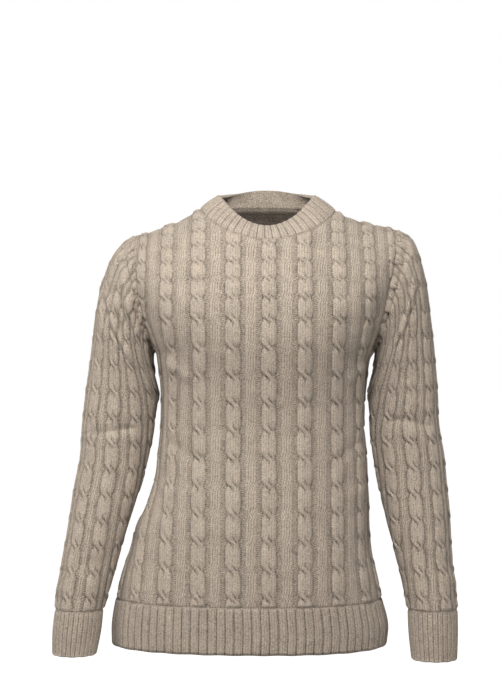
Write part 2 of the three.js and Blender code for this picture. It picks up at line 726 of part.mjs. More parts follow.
function plainLattice(halfWidth, low, high) {
  const list = [];
  for (let a = -halfWidth; a <= halfWidth; a += INNER_STEP) {
    for (let b = low; b <= high; b += INNER_STEP) list.push({ a, b, h: 0 });
  }
  return list;
}

function bodyRows() {
  const rows = [...BODY_CROSS_TOP];
  while (rows[rows.length - 1] > BODY_HEM_Z) rows.push(rows[rows.length - 1] - BODY_CROSS_STEP);
  return rows;
}

function bodyPanel(name, facing) {
  const surface = (s, t) => panelPoint(facing, s, t);
  const cables = cableLattice(BODY_CABLE, bodyRows(), 5, 1);
  const plain = plainLattice(240, BODY_HEM_Z, 90);
  return clothSolid(name, panelEdge(facing), cables, plain, surface, -facing);
}

// Sleeve: rings by number, each an ellipse between its outer and inner point
function sleeveRings(side) {
  const rows = SLEEVES[side].map((row, ring) => ({ ...row, ring }));
  const get = {};
  ['outX', 'outZ', 'inX', 'inZ', 'y', 'depth'].forEach((name) => {
    get[name] = column(rows, 'ring', name);
  });
  const ways = [{ ring: 0, way: 0 }];
  const steps = (rows.length - 1) * RINGS_PER_ROW;
  for (let i = 1; i <= steps; i += 1) {
    const ring = i / RINGS_PER_ROW;
    const before = (i - 1) / RINGS_PER_ROW;
    const d = Math.hypot(get.outX(ring) - get.outX(before), get.outZ(ring) - get.outZ(before));
    ways.push({ ring, way: ways[i - 1].way + d });
  }
  const ringAt = column(ways, 'way', 'ring');
  const form = { get, ringAt, length: ways[steps].way, bow: ARMHOLES[side].bow };
  const inner = [{ way: form.length, drop: 0 }];
  for (let i = steps - 1; i >= 0; i -= 1) {
    const ring = i / RINGS_PER_ROW;
    const below = (i + 1) / RINGS_PER_ROW;
    const d = Math.hypot(get.inX(ring) - get.inX(below), get.inZ(ring) - get.inZ(below));
    inner.push({ way: ways[i].way, drop: inner[inner.length - 1].drop + d });
  }
  form.innerDrop = column(inner, 'way', 'drop');
  return form;
}

const ellipseCache = new Map();
function ellipseQuarter(a, b) {
  const id = `${a.toFixed(3)},${b.toFixed(3)}`;
  if (!ellipseCache.has(id)) {
    const points = [];
    let length = 0;
    for (let i = 0; i <= 2 * PROFILE_STEPS; i += 1) {
      const turn = Math.PI * (i / (2 * PROFILE_STEPS));
      const x = a * Math.cos(turn);
      const y = b * Math.sin(turn);
      if (i > 0) length += Math.hypot(x - points[i - 1].px, y - points[i - 1].py);
      points.push({ px: x, py: y, x: turn, y: 0, length });
    }
    ellipseCache.set(id, points);
  }
  return ellipseCache.get(id);
}

function sleeveRing(form, way) {
  const g = form.get;
  const ring = form.ringAt(way);
  const outer = vec(g.outX(ring), g.y(ring), g.outZ(ring));
  const inner = vec(g.inX(ring), g.y(ring), g.inZ(ring));
  const centre = outer.clone().add(inner).multiplyScalar(0.5);
  const axis = outer.sub(centre);
  return { centre, axis, depth: g.depth(ring), bow: form.bow * (1 - smooth(ring / 3)) };
}

function ringPoint(ring, turn) {
  const s = Math.sin(turn);
  return ring.centre.clone().addScaledVector(ring.axis, Math.cos(turn))
    .add(vec(ring.bow * s * s, -ring.depth * s, 0));
}

function sleevePoint(form, c, way) {
  const ring = sleeveRing(form, way);
  const half = ellipseQuarter(ring.axis.length(), ring.depth);
  return ringPoint(ring, Math.sign(c) * along(half, 'length', Math.abs(c)).x);
}

function ringHalf(form, way) {
  const ring = sleeveRing(form, way);
  const half = ellipseQuarter(ring.axis.length(), ring.depth);
  return half[half.length - 1].length;
}

function sleeveEdge(side, form) {
  const list = [];
  const away = vec(side === 'left' ? -HALF_GAP : HALF_GAP, 0, 0);
  const start = sleeveRing(form, 0);
  const ringPlace = (i) => {
    const turn = Math.PI * (i / ARMHOLE_STATIONS);
    const half = ellipseQuarter(start.axis.length(), start.depth);
    const c = Math.sign(turn) * along(half, 'x', Math.abs(turn)).length;
    const end = Math.abs(i) === ARMHOLE_STATIONS;
    const tags = { join: end, joinEnd: end };
    const round = end ? Math.PI : turn;
    return rimPlace(c, 0, armholePoint(side, round), armholeOut(side, round), away, tags);
  };
  const seamPlace = (sign, i) => {
    const way = form.length * (i / UNDERARM_STATIONS);
    const at = (w) => ringPoint(sleeveRing(form, w), Math.PI);
    const run = at(way + 1).sub(at(way - 1));
    const direction = sleeveRing(form, way).axis.clone().negate();
    direction.addScaledVector(run, -direction.dot(run) / run.lengthSq()).normalize();
    const tags = { join: true, joinEnd: true };
    return rimPlace(sign * ringHalf(form, way), way, at(way), direction, vec(0, 0, 0), tags);
  };
  const cuffPlace = (i) => {
    const turn = Math.PI * (i / (CUFF_STATIONS / 2));
    const ring = sleeveRing(form, form.length);
    const half = ellipseQuarter(ring.axis.length(), ring.depth);
    const c = Math.sign(turn) * along(half, 'x', Math.abs(turn)).length;
    const end = Math.abs(i) === CUFF_STATIONS / 2;
    const round = end ? Math.PI : turn;
    const a = ring.axis.length();
    const sideways = Math.sign(ring.axis.x);
    const normal = vec(sideways * Math.cos(round) / a, -Math.sin(round) / ring.depth, 0).normalize();
    const tags = { join: end, joinEnd: end };
    return rimPlace(c, form.length, ringPoint(ring, round), normal, vec(0, 0, HALF_GAP), tags);
  };
  for (let i = -ARMHOLE_STATIONS; i <= ARMHOLE_STATIONS; i += 1) list.push(ringPlace(i));
  for (let i = 1; i < UNDERARM_STATIONS; i += 1) list.push(seamPlace(1, i));
  for (let i = CUFF_STATIONS / 2; i >= -CUFF_STATIONS / 2; i -= 1) list.push(cuffPlace(i));
  for (let i = UNDERARM_STATIONS - 1; i > 0; i -= 1) list.push(seamPlace(-1, i));
  return list;
}

// Length of cloth from a place down to the cuff seam
function dropToCuff(form, c, way) {
  const ring = sleeveRing(form, way);
  const half = ellipseQuarter(ring.axis.length(), ring.depth);
  const outer = (1 + Math.cos(along(half, 'length', Math.abs(c)).x)) / 2;
  return outer * (form.length - way) + (1 - outer) * form.innerDrop(way);
}

function wayOfDrop(form, c, drop) {
  let lo = 0;
  let hi = form.length;
  for (let i = 0; i < HALVINGS; i += 1) {
    const way = (lo + hi) / 2;
    if (dropToCuff(form, c, way) > drop) lo = way;
    else hi = way;
  }
  return dropToCuff(form, c, 0) > drop ? hi : -1;
}

function sleeve(name, side) {
  const form = sleeveRings(side);
  const rows = [];
  for (let b = SLEEVE_CROSS_FIRST - SLEEVE_CROSS_STEP; b < form.length + SLEEVE_CROSS_STEP; b += SLEEVE_CROSS_STEP) {
    rows.unshift(b);
  }
  const sign = side === 'left' ? -1 : 1;
  const cables = cableLattice(SLEEVE_CABLE, rows, 6, -sign)
    .filter((p) => p.b > 0)
    .map((p) => ({ ...p, b: wayOfDrop(form, p.a, p.b) }));
  const plain = plainLattice(210, 0, form.length);
  const surface = (c, way) => sleevePoint(form, c, way);
  return clothSolid(name, sleeveEdge(side, form), cables, plain, surface, sign);
}

// Solid swept through sections, each a loop of the same number of points
function sweep(name, sections, closed, flip) {
  const count = sections[0].length;
  const faces = [];
  const last = closed ? sections.length : sections.length - 1;
  const add = (a, b, c) => faces.push(flip > 0 ? [a, b, c] : [a, c, b]);
  for (let i = 0; i < last; i += 1) {
    const j = (i + 1) % sections.length;
    for (let k = 0; k < count; k += 1) {
      const m = (k + 1) % count;
      add(i * count + k, j * count + k, j * count + m);
      add(i * count + k, j * count + m, i * count + m);
    }
  }
  if (!closed) {
    const end = (sections.length - 1) * count;
    for (let k = 1; k < count - 1; k += 1) {
      add(0, k, k + 1);
      add(end, end + k + 1, end + k);
    }
  }
  return solid(name, sections.flat(), faces);
}

function hemRib(name, facing) {
  const stations = HEM_RIBS.count * 2;
  const sections = [];
  for (let i = 0; i <= stations; i += 1) {
    const high = i % 2 === 1 ? HEM_RIBS.height : 0;
    const end = i === 0 || i === stations;
    const place = (z, lift) => {
      const lo = fullLength(z, -1, facing);
      const hi = fullLength(z, 1, facing);
      const s = lo + (hi - lo) * (i / stations);
      const p = sectionPoint(s, z, facing);
      const n = end ? vec(i === 0 ? -1 : 1, 0, 0) : levelNormal(s, z, facing);
      const gap = end ? facing * HALF_GAP : 0;
      return vec(p.x + n.x * lift, p.y + n.y * lift + gap, z);
    };
    const top = BODY_HEM_Z - HALF_GAP;
    sections.push([
      place(top, HALF_WALL),
      place(BODY_HEM_Z - RIB_START, HALF_WALL + high),
      place(HEM_END_Z, HALF_WALL + high),
      place(HEM_END_Z, -HALF_WALL),
      place(top, -HALF_WALL),
    ]);
  }
  return sweep(name, sections, false, facing);
}

function cuff(name, side) {
  const rows = CUFFS[side];
  const get = {};
  ['x', 'y', 'width', 'depth'].forEach((key) => {
    get[key] = column(rows, 'z', key);
  });
  const end = rows[rows.length - 1].z;
  const stations = CUFF_RIBS.count * 2;
  const sideways = side === 'left' ? -1 : 1;
  const sections = [];
  for (let i = 0; i < stations; i += 1) {
    const turn = 2 * Math.PI * (i / stations);
    const high = i % 2 === 1 ? CUFF_RIBS.height : 0;
    const place = (z, lift) => {
      const a = get.width(z);
      const b = get.depth(z);
      const n = vec(sideways * Math.cos(turn) / a, -Math.sin(turn) / b, 0).normalize();
      return vec(
        get.x(z) + sideways * a * Math.cos(turn) + n.x * lift,
        get.y(z) - b * Math.sin(turn) + n.y * lift,
        z,
      );
    };
    const top = rows[0].z - HALF_GAP;
    sections.push([
      place(top, HALF_WALL),
      place(rows[0].z - RIB_START, HALF_WALL + high),
      place(end, HALF_WALL + high * CUFF_END_SHARE),
      place(end, -HALF_WALL),
      place(top, -HALF_WALL),
    ]);
  }
  return sweep(name, sections, true, sideways);
}

function neckband(name) {
  const stations = NECK_RIBS.count * 2;
  const sections = [];
  for (let i = 0; i < stations; i += 1) {
    const round = 2 * Math.PI * (i / stations);
    const facing = round <= Math.PI ? -1 : 1;
    const turn = facing < 0 ? round : 2 * Math.PI - round;
    const high = i % 2 === 1 ? NECK_RIBS.height : 0;
    const sin = Math.sin(turn);
    const seam = neckSeamPoint(turn, facing);
    const inward = vec(-Math.cos(turn), -facing * sin, 0).multiplyScalar(HALF_GAP);
    const low = seam.add(inward);
    const lowOut = neckOut(turn, facing);
    const middleY = (BAND_TOP.frontY + BAND_TOP.backY) / 2;
    const halfY = (BAND_TOP.backY - BAND_TOP.frontY) / 2;
    const farZ = facing < 0 ? BAND_TOP.frontZ : BAND_TOP.backZ;
    const top = vec(
      BAND_TOP.x + BAND_TOP.halfX * Math.cos(turn),
      middleY + facing * halfY * sin,
      BAND_TOP.sideZ + (farZ - BAND_TOP.sideZ) * sin * sin,
    );
    const rise = top.clone().sub(low);
    const around = vec(Math.sin(turn), -facing * Math.cos(turn), 0);
    const out = rise.clone().cross(around).normalize();
    if (out.dot(vec(Math.cos(turn), facing * sin, 0.2)) < 0) out.negate();
    const at = (share, direction, lift) => low.clone()
      .addScaledVector(rise, share)
      .addScaledVector(direction, lift);
    const half = BAND_THICK / 2;
    sections.push([
      at(0, lowOut, HALF_WALL),
      at(BAND_SWELL, out, half + high),
      at(BAND_TURN, out, half + high),
      at(BAND_END, out, 0),
      at(BAND_TURN, out, -half),
      at(0, lowOut, -HALF_WALL),
    ]);
  }
  return sweep(name, sections, true, -1);
}

const sweater = new THREE.Group();
sweater.name = 'cable_knit_sweater';
sweater.add(
  bodyPanel('front_panel', -1),
  bodyPanel('back_panel', 1),
  sleeve('sleeve_left', 'left'),
  sleeve('sleeve_right', 'right'),
  neckband('neckband'),
  hemRib('hem_rib_front', -1),
  hemRib('hem_rib_back', 1),
  cuff('cuff_left', 'left'),
  cuff('cuff_right', 'right'),
);

export default sweater;
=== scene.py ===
import logging
import math
from collections.abc import Callable, Sequence
from dataclasses import dataclass
from enum import Enum, IntEnum

import bpy
import numpy as np
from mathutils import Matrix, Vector


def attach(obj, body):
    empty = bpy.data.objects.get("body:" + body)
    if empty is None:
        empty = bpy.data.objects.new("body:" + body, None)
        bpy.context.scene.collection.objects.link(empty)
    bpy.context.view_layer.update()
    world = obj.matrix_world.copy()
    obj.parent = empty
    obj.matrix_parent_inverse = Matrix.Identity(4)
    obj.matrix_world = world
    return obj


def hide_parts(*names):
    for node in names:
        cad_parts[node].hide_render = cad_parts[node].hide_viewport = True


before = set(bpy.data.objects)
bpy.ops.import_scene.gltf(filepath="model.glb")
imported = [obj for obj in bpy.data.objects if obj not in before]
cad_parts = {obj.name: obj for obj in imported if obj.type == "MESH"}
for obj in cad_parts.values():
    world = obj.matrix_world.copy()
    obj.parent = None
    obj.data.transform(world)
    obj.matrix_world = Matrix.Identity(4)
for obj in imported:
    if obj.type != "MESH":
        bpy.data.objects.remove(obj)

log = logging.getLogger("sweater")
Array = np.ndarray

MM = 0.001
WALL = 2.2
HALF_WALL = WALL / 2
CENTRE_X = 3.0
SIDE_Y = 5.0
SECTION_POWER = 2.35
ROOF_START_Z = -150.0
ROOF_POWER = 1.6
UNDERARM_Z = -204.0
BODY_HEM_Z = -548.0
HEM_END_Z = -612.0
NECK_HALF_S = 95.0
NECK_FRONT_Z = -54.0
NECK_BACK_Z = -3.0
ARMHOLE_HALF_DEPTH = 53.0
ARMHOLE_BLEND = 60.0
STITCH_W = 48.0 / 14.0
ROW_H = 2.6


class Facing(IntEnum):
    """The two body panels, by the way they face along Y."""

    FRONT = -1
    BACK = 1


class Side(Enum):
    """The two sleeves, by their place in the front view."""

    LEFT = "left"
    RIGHT = "right"

    @property
    def sign(self) -> int:
        """-1 for the left sleeve and 1 for the right one."""
        return -1 if self is Side.LEFT else 1


class Slot(Enum):
    """Material slots of the record."""

    CABLES = "cable_knit"
    RIBS = "ribbing"


TORSO = (  # z, left, right, front, back
    (-150, -187, 185, -121, 92),
    (-180, -167, 162, -122, 89),
    (-204, -152, 148, -119, 86),
    (-216, -149, 142, -116, 84),
    (-250, -144, 137, -107, 80),
    (-281, -143.5, 134.5, -101, 78),
    (-315, -144.5, 134.5, -98, 78),
    (-349, -148, 137.5, -99, 81),
    (-382, -152, 138.5, -102, 87),
    (-416, -164, 140, -105, 96),
    (-449, -178, 141, -108, 104),
    (-483, -187, 144, -110, 110),
    (-517, -199, 152, -111, 113),
    (-548, -207, 159, -111, 114),
    (-584, -213, 168, -110, 114),
    (-612, -213, 166, -109, 113),
)
SHOULDER = (  # x, z
    (-192, -48), (-181, -44), (-164, -40), (-139, -31), (-118, -23), (-95, -9), (-60, 5), (0, 14),
    (60, 5), (95, -9), (115, -19), (141, -27), (168, -32), (181, -36), (192, -40),
)
ARMHOLES = {  # tip x, tip z, underarm x, underarm z, bow
    Side.LEFT: (-181, -44, -152, UNDERARM_Z, -8),
    Side.RIGHT: (181, -36, 148, UNDERARM_Z, 3),
}
SLEEVES = {  # outer x, outer z, inner x, inner z, y, depth
    Side.LEFT: (
        (-181, -44, -152, -204, 5, 53),
        (-190.5, -50, -157, -204.5, 5, 54),
        (-201, -58.5, -160.5, -208, 5, 54),
        (-214, -76, -161, -221, 5, 53),
        (-227, -113, -158, -238, 5, 51),
        (-235.5, -155, -155, -255, 5, 49),
        (-241, -200, -153.5, -273, 5, 46),
        (-247, -250, -157, -296, 4, 44),
        (-254, -305, -162, -325, 2, 42),
        (-257, -352, -169.5, -360, -2, 40),
        (-264, -392, -177, -394, -7, 38),
        (-270.5, -434, -190, -434, -13, 37),
        (-276.5, -476, -203, -476, -20, 35),
        (-283, -517, -215, -517, -27, 33.5),
        (-289, -560, -227, -560, -34, 32),
    ),
    Side.RIGHT: (
        (181, -36, 148, -204, 5, 53),
        (192.5, -43, 153, -204.5, 5, 54),
        (203, -51.5, 156, -209, 5, 54),
        (213, -76, 155, -221, 5, 53),
        (222, -113, 152, -238, 5, 51),
        (227, -155, 147.5, -255, 5, 49),
        (232, -200, 145.5, -273, 5, 46),
        (237, -250, 147.5, -296, 4, 44),
        (239, -305, 149.5, -325, 2, 42),
        (246, -352, 154.5, -360, -2, 40),
        (249, -392, 160, -394, -7, 38),
        (252, -434, 168, -434, -13, 37),
        (254, -476, 179, -476, -20, 35),
        (257, -517, 190, -517, -27, 34),
        (261.5, -560, 197.5, -560, -34, 32),
    ),
}
CUFFS = {  # z, x, y, width, depth
    Side.LEFT: ((-560, -258, -34, 31, 32), (-590, -261, -38, 31, 31), (-621, -264, -42, 28, 28)),
    Side.RIGHT: ((-560, 229.5, -34, 32, 32), (-592, 230, -38, 31.5, 31), (-628, 231, -42, 29, 28)),
}
NECK_TOP = (1.0, 64.0, -60.0, 46.0, -35.0, 11.0, 24.0)  # x, half x, front y, back y, front z, side z, back z
NECK_THICK = 4.2
BODY_CROSS_TOP = (54, 27, 0, -27, -54, -81, -107, -133, -162)
BODY_CROSS_STEP = 37.3
SLEEVE_CROSS_FIRST = 18.0
SEAM_HALF = 0.15
SLEEVE_CROSS_STEP = 36.0


@dataclass(frozen=True)
class Fold:
    """Soft ridge (rise above 0) or trough along a line between two places on the cloth, in mm."""

    a1: float
    b1: float
    a2: float
    b2: float
    width: float
    rise: float


FOLDS = {
    "front_panel": (
        Fold(-150, -222, -112, -240, 8, 2.5), Fold(-148, -330, -96, -352, 9, -2.5),
        Fold(146, -330, 100, -348, 9, -2.5), Fold(150, -228, 116, -244, 8, 2),
        Fold(-158, -392, -110, -400, 10, 1.6), Fold(150, -390, 112, -404, 10, 1.6),
        Fold(-60, -60, -96, -120, 12, -1.4), Fold(64, -58, 98, -124, 12, -1.4),
    ),
    "back_panel": (
        Fold(-136, -318, -48, -334, 9, -3), Fold(128, -338, 40, -330, 9, -3),
        Fold(-116, -160, -60, -214, 10, -2.5), Fold(112, -150, 64, -210, 10, -2.5),
        Fold(-142, -352, -60, -362, 10, 1.8), Fold(138, -300, 52, -296, 10, 1.8),
    ),
    "sleeve_left": (
        Fold(33, 22, 150, 13, 6, -4), Fold(64, 58, 98, 74, 6, -4), Fold(76, 38, 124, 52, 7, 3.5),
        Fold(45, 86, 96, 123, 7, 4), Fold(-40, 26, -140, 16, 6, -3.5), Fold(-60, 58, -108, 76, 7, 3.5),
        Fold(92, 268, 40, 292, 7, -3), Fold(112, 34, 158, 31, 6, -2.5), Fold(35, 98, 86, 137, 5, -2.2),
        Fold(6, 84, 46, 138, 8, 1.8), Fold(88, 288, 36, 312, 9, 1.2), Fold(70, 470, 10, 486, 7, -1.6),
        Fold(-20, 300, -84, 276, 8, -2), Fold(64, 500, 4, 512, 7, 1.2),
    ),
    "sleeve_right": (
        Fold(40, 20, 150, 15, 6, -3), Fold(58, 56, 112, 90, 7, 3), Fold(-44, 24, -138, 15, 6, -3.5),
        Fold(-58, 62, -110, 88, 7, 3), Fold(90, 256, 38, 284, 7, -3), Fold(50, 78, 104, 112, 6, -2.2),
        Fold(86, 276, 34, 304, 9, 1.2), Fold(66, 462, 8, 478, 7, -1.6), Fold(-24, 292, -86, 270, 8, -2),
        Fold(60, 492, 2, 506, 7, 1.2),
    ),
}


def smooth(v: Array) -> Array:
    """Smooth step from 0 to 1 over 0 to 1."""
    c = np.clip(v, 0, 1)
    return c * c * (3 - 2 * c)


def fold_rise(node: str, a: Array, b: Array, edge: Array) -> Array:
    """Rise of the folds of a piece at places on it, fading towards its edge."""
    total = np.zeros(np.shape(a))
    for f in FOLDS[node]:
        da, db = f.a2 - f.a1, f.b2 - f.b1
        k = np.clip(((a - f.a1) * da + (b - f.b1) * db) / (da * da + db * db), 0, 1)
        total += f.rise * np.exp(-((a - f.a1 - k * da) ** 2 + (b - f.b1 - k * db) ** 2) / f.width**2)
    return total * smooth(edge / 12)


class Curve:
    """Smooth curve through the rows of a table, one column against another."""

    def __init__(self, keys: Sequence[float], values: Sequence[float]) -> None:
        """Sorts the rows by key and works out the slopes."""
        order = np.argsort(keys)
        self.x = np.asarray(keys, float)[order]
        self.y = np.asarray(values, float)[order]
        n = len(self.x)
        lo, hi = np.maximum(np.arange(n) - 1, 0), np.minimum(np.arange(n) + 1, n - 1)
        self.slope = (self.y[hi] - self.y[lo]) / (self.x[hi] - self.x[lo])

    def __call__(self, at: Array | float) -> Array:
        """Values of the curve; beyond the ends it stays level."""
        v = np.clip(np.asarray(at, float), self.x[0], self.x[-1])
        i = np.clip(np.searchsorted(self.x, v, side="right") - 1, 0, len(self.x) - 2)
        w = self.x[i + 1] - self.x[i]
        t = (v - self.x[i]) / w
        t2, t3 = t * t, t * t * t
        return (
            (2 * t3 - 3 * t2 + 1) * self.y[i] + (t3 - 2 * t2 + t) * w * self.slope[i]
            + (3 * t2 - 2 * t3) * self.y[i + 1] + (t3 - t2) * w * self.slope[i + 1]
        )


def bilinear(table: Array, row: Array, column: Array) -> Array:
    """Values of a table at fractional rows and columns."""
    r = np.clip(row, 0, table.shape[0] - 1.000001)
    c = np.clip(column, 0, table.shape[1] - 1.000001)
    i, j = r.astype(int), c.astype(int)
    u, v = r - i, c - j
    top = table[i, j] * (1 - v) + table[i, j + 1] * v
    low = table[i + 1, j] * (1 - v) + table[i + 1, j + 1] * v
    return top * (1 - u) + low * u


class TorsoForm:
    """The plain form of the body of the sweater, as sections by height with a slope up to the shoulders."""

    STEPS = 96
    LEVELS = 463

    def __init__(self) -> None:
        """Fills the tables of section points by level and by share of the quarter's length."""
        cols = list(zip(*TORSO))
        self.edge = {-1: Curve(cols[0], cols[1]), 1: Curve(cols[0], cols[2])}
        self.depth = {Facing.FRONT: Curve(cols[0], cols[3]), Facing.BACK: Curve(cols[0], cols[4])}
        self.shoulder = Curve(*zip(*SHOULDER))
        self.low = HEM_END_Z
        self.levels = np.linspace(HEM_END_Z, ROOF_START_Z, self.LEVELS)
        self.sections: dict[tuple[int, int], tuple[Array, Array, Array]] = {}
        for sideways in (-1, 1):
            for facing in Facing:
                self.sections[sideways, int(facing)] = self._sections(sideways, facing)
        self.roofs = {int(f): self._roofs(f) for f in Facing}
        self.armholes = {(side, int(f)): self._armhole_edge(side, f) for side in Side for f in Facing}

    def _sections(self, sideways: int, facing: Facing) -> tuple[Array, Array, Array]:
        """Quarter sections at each level, evenly by length: x, y and full length."""
        turn = np.linspace(0, math.pi / 2, self.STEPS + 1)
        power = 2 / SECTION_POWER
        xs, ys, full = [], [], []
        share = np.linspace(0, 1, self.STEPS + 1)
        for z in self.levels:
            a = abs(float(self.edge[sideways](z)) - CENTRE_X)
            b = abs(float(self.depth[facing](z)) - SIDE_Y)
            x = a * np.sin(turn) ** power
            y = b * np.maximum(0, np.cos(turn)) ** power
            y[-1] = 0
            length = np.concatenate([[0], np.cumsum(np.hypot(np.diff(x), np.diff(y)))])
            full.append(length[-1])
            xs.append(np.interp(share * length[-1], length, x))
            ys.append(np.interp(share * length[-1], length, y))
        return np.array(xs), np.array(ys), np.array(full)

    def _row(self, z: Array) -> Array:
        """Fractional table row of a height."""
        return (np.asarray(z, float) - self.low) / (ROOF_START_Z - self.low) * (self.LEVELS - 1)

    def full_length(self, z: Array, sideways: int, facing: int) -> Array:
        """Signed length from the centre line to the side seam."""
        return sideways * np.interp(z, self.levels, self.sections[sideways, int(facing)][2])

    def section(self, s: Array, z: Array, facing: int) -> tuple[Array, Array]:
        """Plain section point at a length from the centre line."""
        s, z = np.broadcast_arrays(np.asarray(s, float), np.asarray(z, float))
        x, y = np.zeros(s.shape), np.zeros(s.shape)
        for sideways in (-1, 1):
            pick = (s < 0) if sideways < 0 else (s >= 0)
            xs, ys, full = self.sections[sideways, int(facing)]
            share = np.abs(s[pick]) / np.interp(z[pick], self.levels, full)
            row, col = self._row(z[pick]), share * self.STEPS
            x[pick] = CENTRE_X + sideways * bilinear(xs, row, col)
            y[pick] = SIDE_Y + int(facing) * bilinear(ys, row, col)
        return x, y

    def length_at_x(self, x: float, z: float, facing: int) -> float:
        """Length from the centre line at which a section reaches x."""
        sideways = -1 if x < CENTRE_X else 1
        full = abs(float(self.full_length(z, sideways, facing)))
        s = np.linspace(0, full, 800)
        xs, _ = self.section(sideways * s, np.full(800, z), facing)
        return sideways * float(np.interp(abs(x - CENTRE_X), np.abs(xs - CENTRE_X), s))

    def _roofs(self, facing: Facing) -> tuple[Array, Array, Array]:
        """Slopes from the chest to the shoulder by x: height, share of depth and full length."""
        q = np.sin(np.linspace(0, math.pi / 2, self.STEPS + 1))
        factor = np.maximum(0, 1 - q**ROOF_POWER) ** (1 / ROOF_POWER)
        share = np.linspace(0, 1, self.STEPS + 1)
        zs, fs, full = [], [], []
        for x in np.linspace(-192, 192, 385):
            s = self.length_at_x(x, ROOF_START_Z, facing)
            base = abs(float(self.section(np.array([s]), np.array([ROOF_START_Z]), facing)[1][0]) - SIDE_Y)
            z = ROOF_START_Z + (float(self.shoulder(x)) - ROOF_START_Z) * q
            length = np.concatenate([[0], np.cumsum(np.hypot(np.diff(z), base * np.diff(factor)))])
            full.append(length[-1])
            zs.append(np.interp(share * length[-1], length, z))
            fs.append(np.interp(share * length[-1], length, factor))
        return np.array(zs), np.array(fs), np.array(full)

    def roof_top(self, s: Array, facing: int) -> Array:
        """Way up the cloth at which it reaches the shoulder line."""
        x, _ = self.section(s, np.full(np.shape(s), ROOF_START_Z), facing)
        return ROOF_START_Z + np.interp(x, np.linspace(-192, 192, 385), self.roofs[int(facing)][2])

    def way_of_height(self, s: float, z: float, facing: int) -> float:
        """Way up the cloth of a height, at a length from the centre line."""
        if z <= ROOF_START_Z:
            return float(z)
        top = float(self.roof_top(np.array([s]), facing)[0])
        t = np.linspace(ROOF_START_Z, top, 600)
        return float(np.interp(z, self.body(np.full(600, s), t, facing)[:, 2], t))

    def body(self, s: Array, t: Array, facing: int) -> Array:
        """Points in the middle of the cloth: s from the centre line, t up the cloth."""
        s, t = np.broadcast_arrays(np.asarray(s, float), np.asarray(t, float))
        x, y = self.section(s, np.minimum(t, ROOF_START_Z), facing)
        z = t.astype(float).copy()
        up = t > ROOF_START_Z
        if up.any():
            zs, fs, full = self.roofs[int(facing)]
            row = np.clip(x[up] + 192, 0, 384)
            share = (t[up] - ROOF_START_Z) / np.interp(row, np.arange(385), full)
            z[up] = bilinear(zs, row, share * self.STEPS)
            y[up] = SIDE_Y + (y[up] - SIDE_Y) * bilinear(fs, row, share * self.STEPS)
        return np.stack([x, y, z], axis=-1)

    @staticmethod
    def armhole(side: Side, turn: Array) -> Array:
        """Armhole seam at a turn from the shoulder tip; positive turns go down the front."""
        tip_x, tip_z, under_x, under_z, bow = ARMHOLES[side]
        c, s = np.cos(turn), np.sin(turn)
        return np.stack(
            [
                (tip_x + under_x) / 2 + (tip_x - under_x) / 2 * c + bow * s * s,
                SIDE_Y - ARMHOLE_HALF_DEPTH * s,
                (tip_z + under_z) / 2 + (tip_z - under_z) / 2 * c,
            ],
            axis=-1,
        )

    def _armhole_edge(self, side: Side, facing: Facing) -> tuple[Array, Array, Array]:
        """Panel edge at an armhole from the underarm up: way, length from the centre line, turn."""
        turns = np.linspace(math.pi, 0, 97)
        rows = []
        for turn in turns:
            p = self.armhole(side, np.array(turn))
            s = self.length_at_x(float(p[0]), min(float(p[2]), ROOF_START_Z), facing)
            rows.append((self.way_of_height(s, float(p[2]), facing), s, turn))
        t, s, turn = (np.array(v) for v in zip(*rows))
        return np.maximum.accumulate(t), s, turn

    def panel(self, s: Array, t: Array, facing: int) -> Array:
        """Body points moved so that the panel edge runs in the armhole ring."""
        s, t = np.broadcast_arrays(np.asarray(s, float), np.asarray(t, float))
        p = self.body(s, t, facing)
        for side in Side:
            ways, lengths, turns = self.armholes[side, int(facing)]
            pick = (t > UNDERARM_Z) & ((s < 0) if side is Side.LEFT else (s >= 0))
            edge = np.interp(t, ways, lengths)
            weight = smooth(1 - (np.abs(edge) - np.abs(s)) / ARMHOLE_BLEND)
            pick &= weight > 0
            if not pick.any():
                continue
            turn = np.interp(t[pick], ways, turns)
            target = self.armhole(side, -int(facing) * turn)
            start = self.body(edge[pick], np.minimum(t[pick], ways[-1]), facing)
            p[pick] += (target - start) * weight[pick][:, None]
        return p

    def neck_place(self, turn: Array, facing: int) -> tuple[Array, Array]:
        """Place of the neck seam on a panel; turn 0 is at the right shoulder."""
        s = NECK_HALF_S * np.cos(turn)
        share = (1 + np.cos(turn)) / 2
        ends = self.roof_top(np.array([-NECK_HALF_S, NECK_HALF_S]), facing)
        top = ends[0] * (1 - share) + ends[1] * share
        low = self.way_of_height(0.0, NECK_FRONT_Z if facing < 0 else NECK_BACK_Z, facing)
        return s, top + (low - top) * np.sin(turn)

    def neck_seam(self, turn: Array, facing: int) -> Array:
        """Points of the neck seam."""
        s, t = self.neck_place(turn, facing)
        return self.body(s, t, facing)


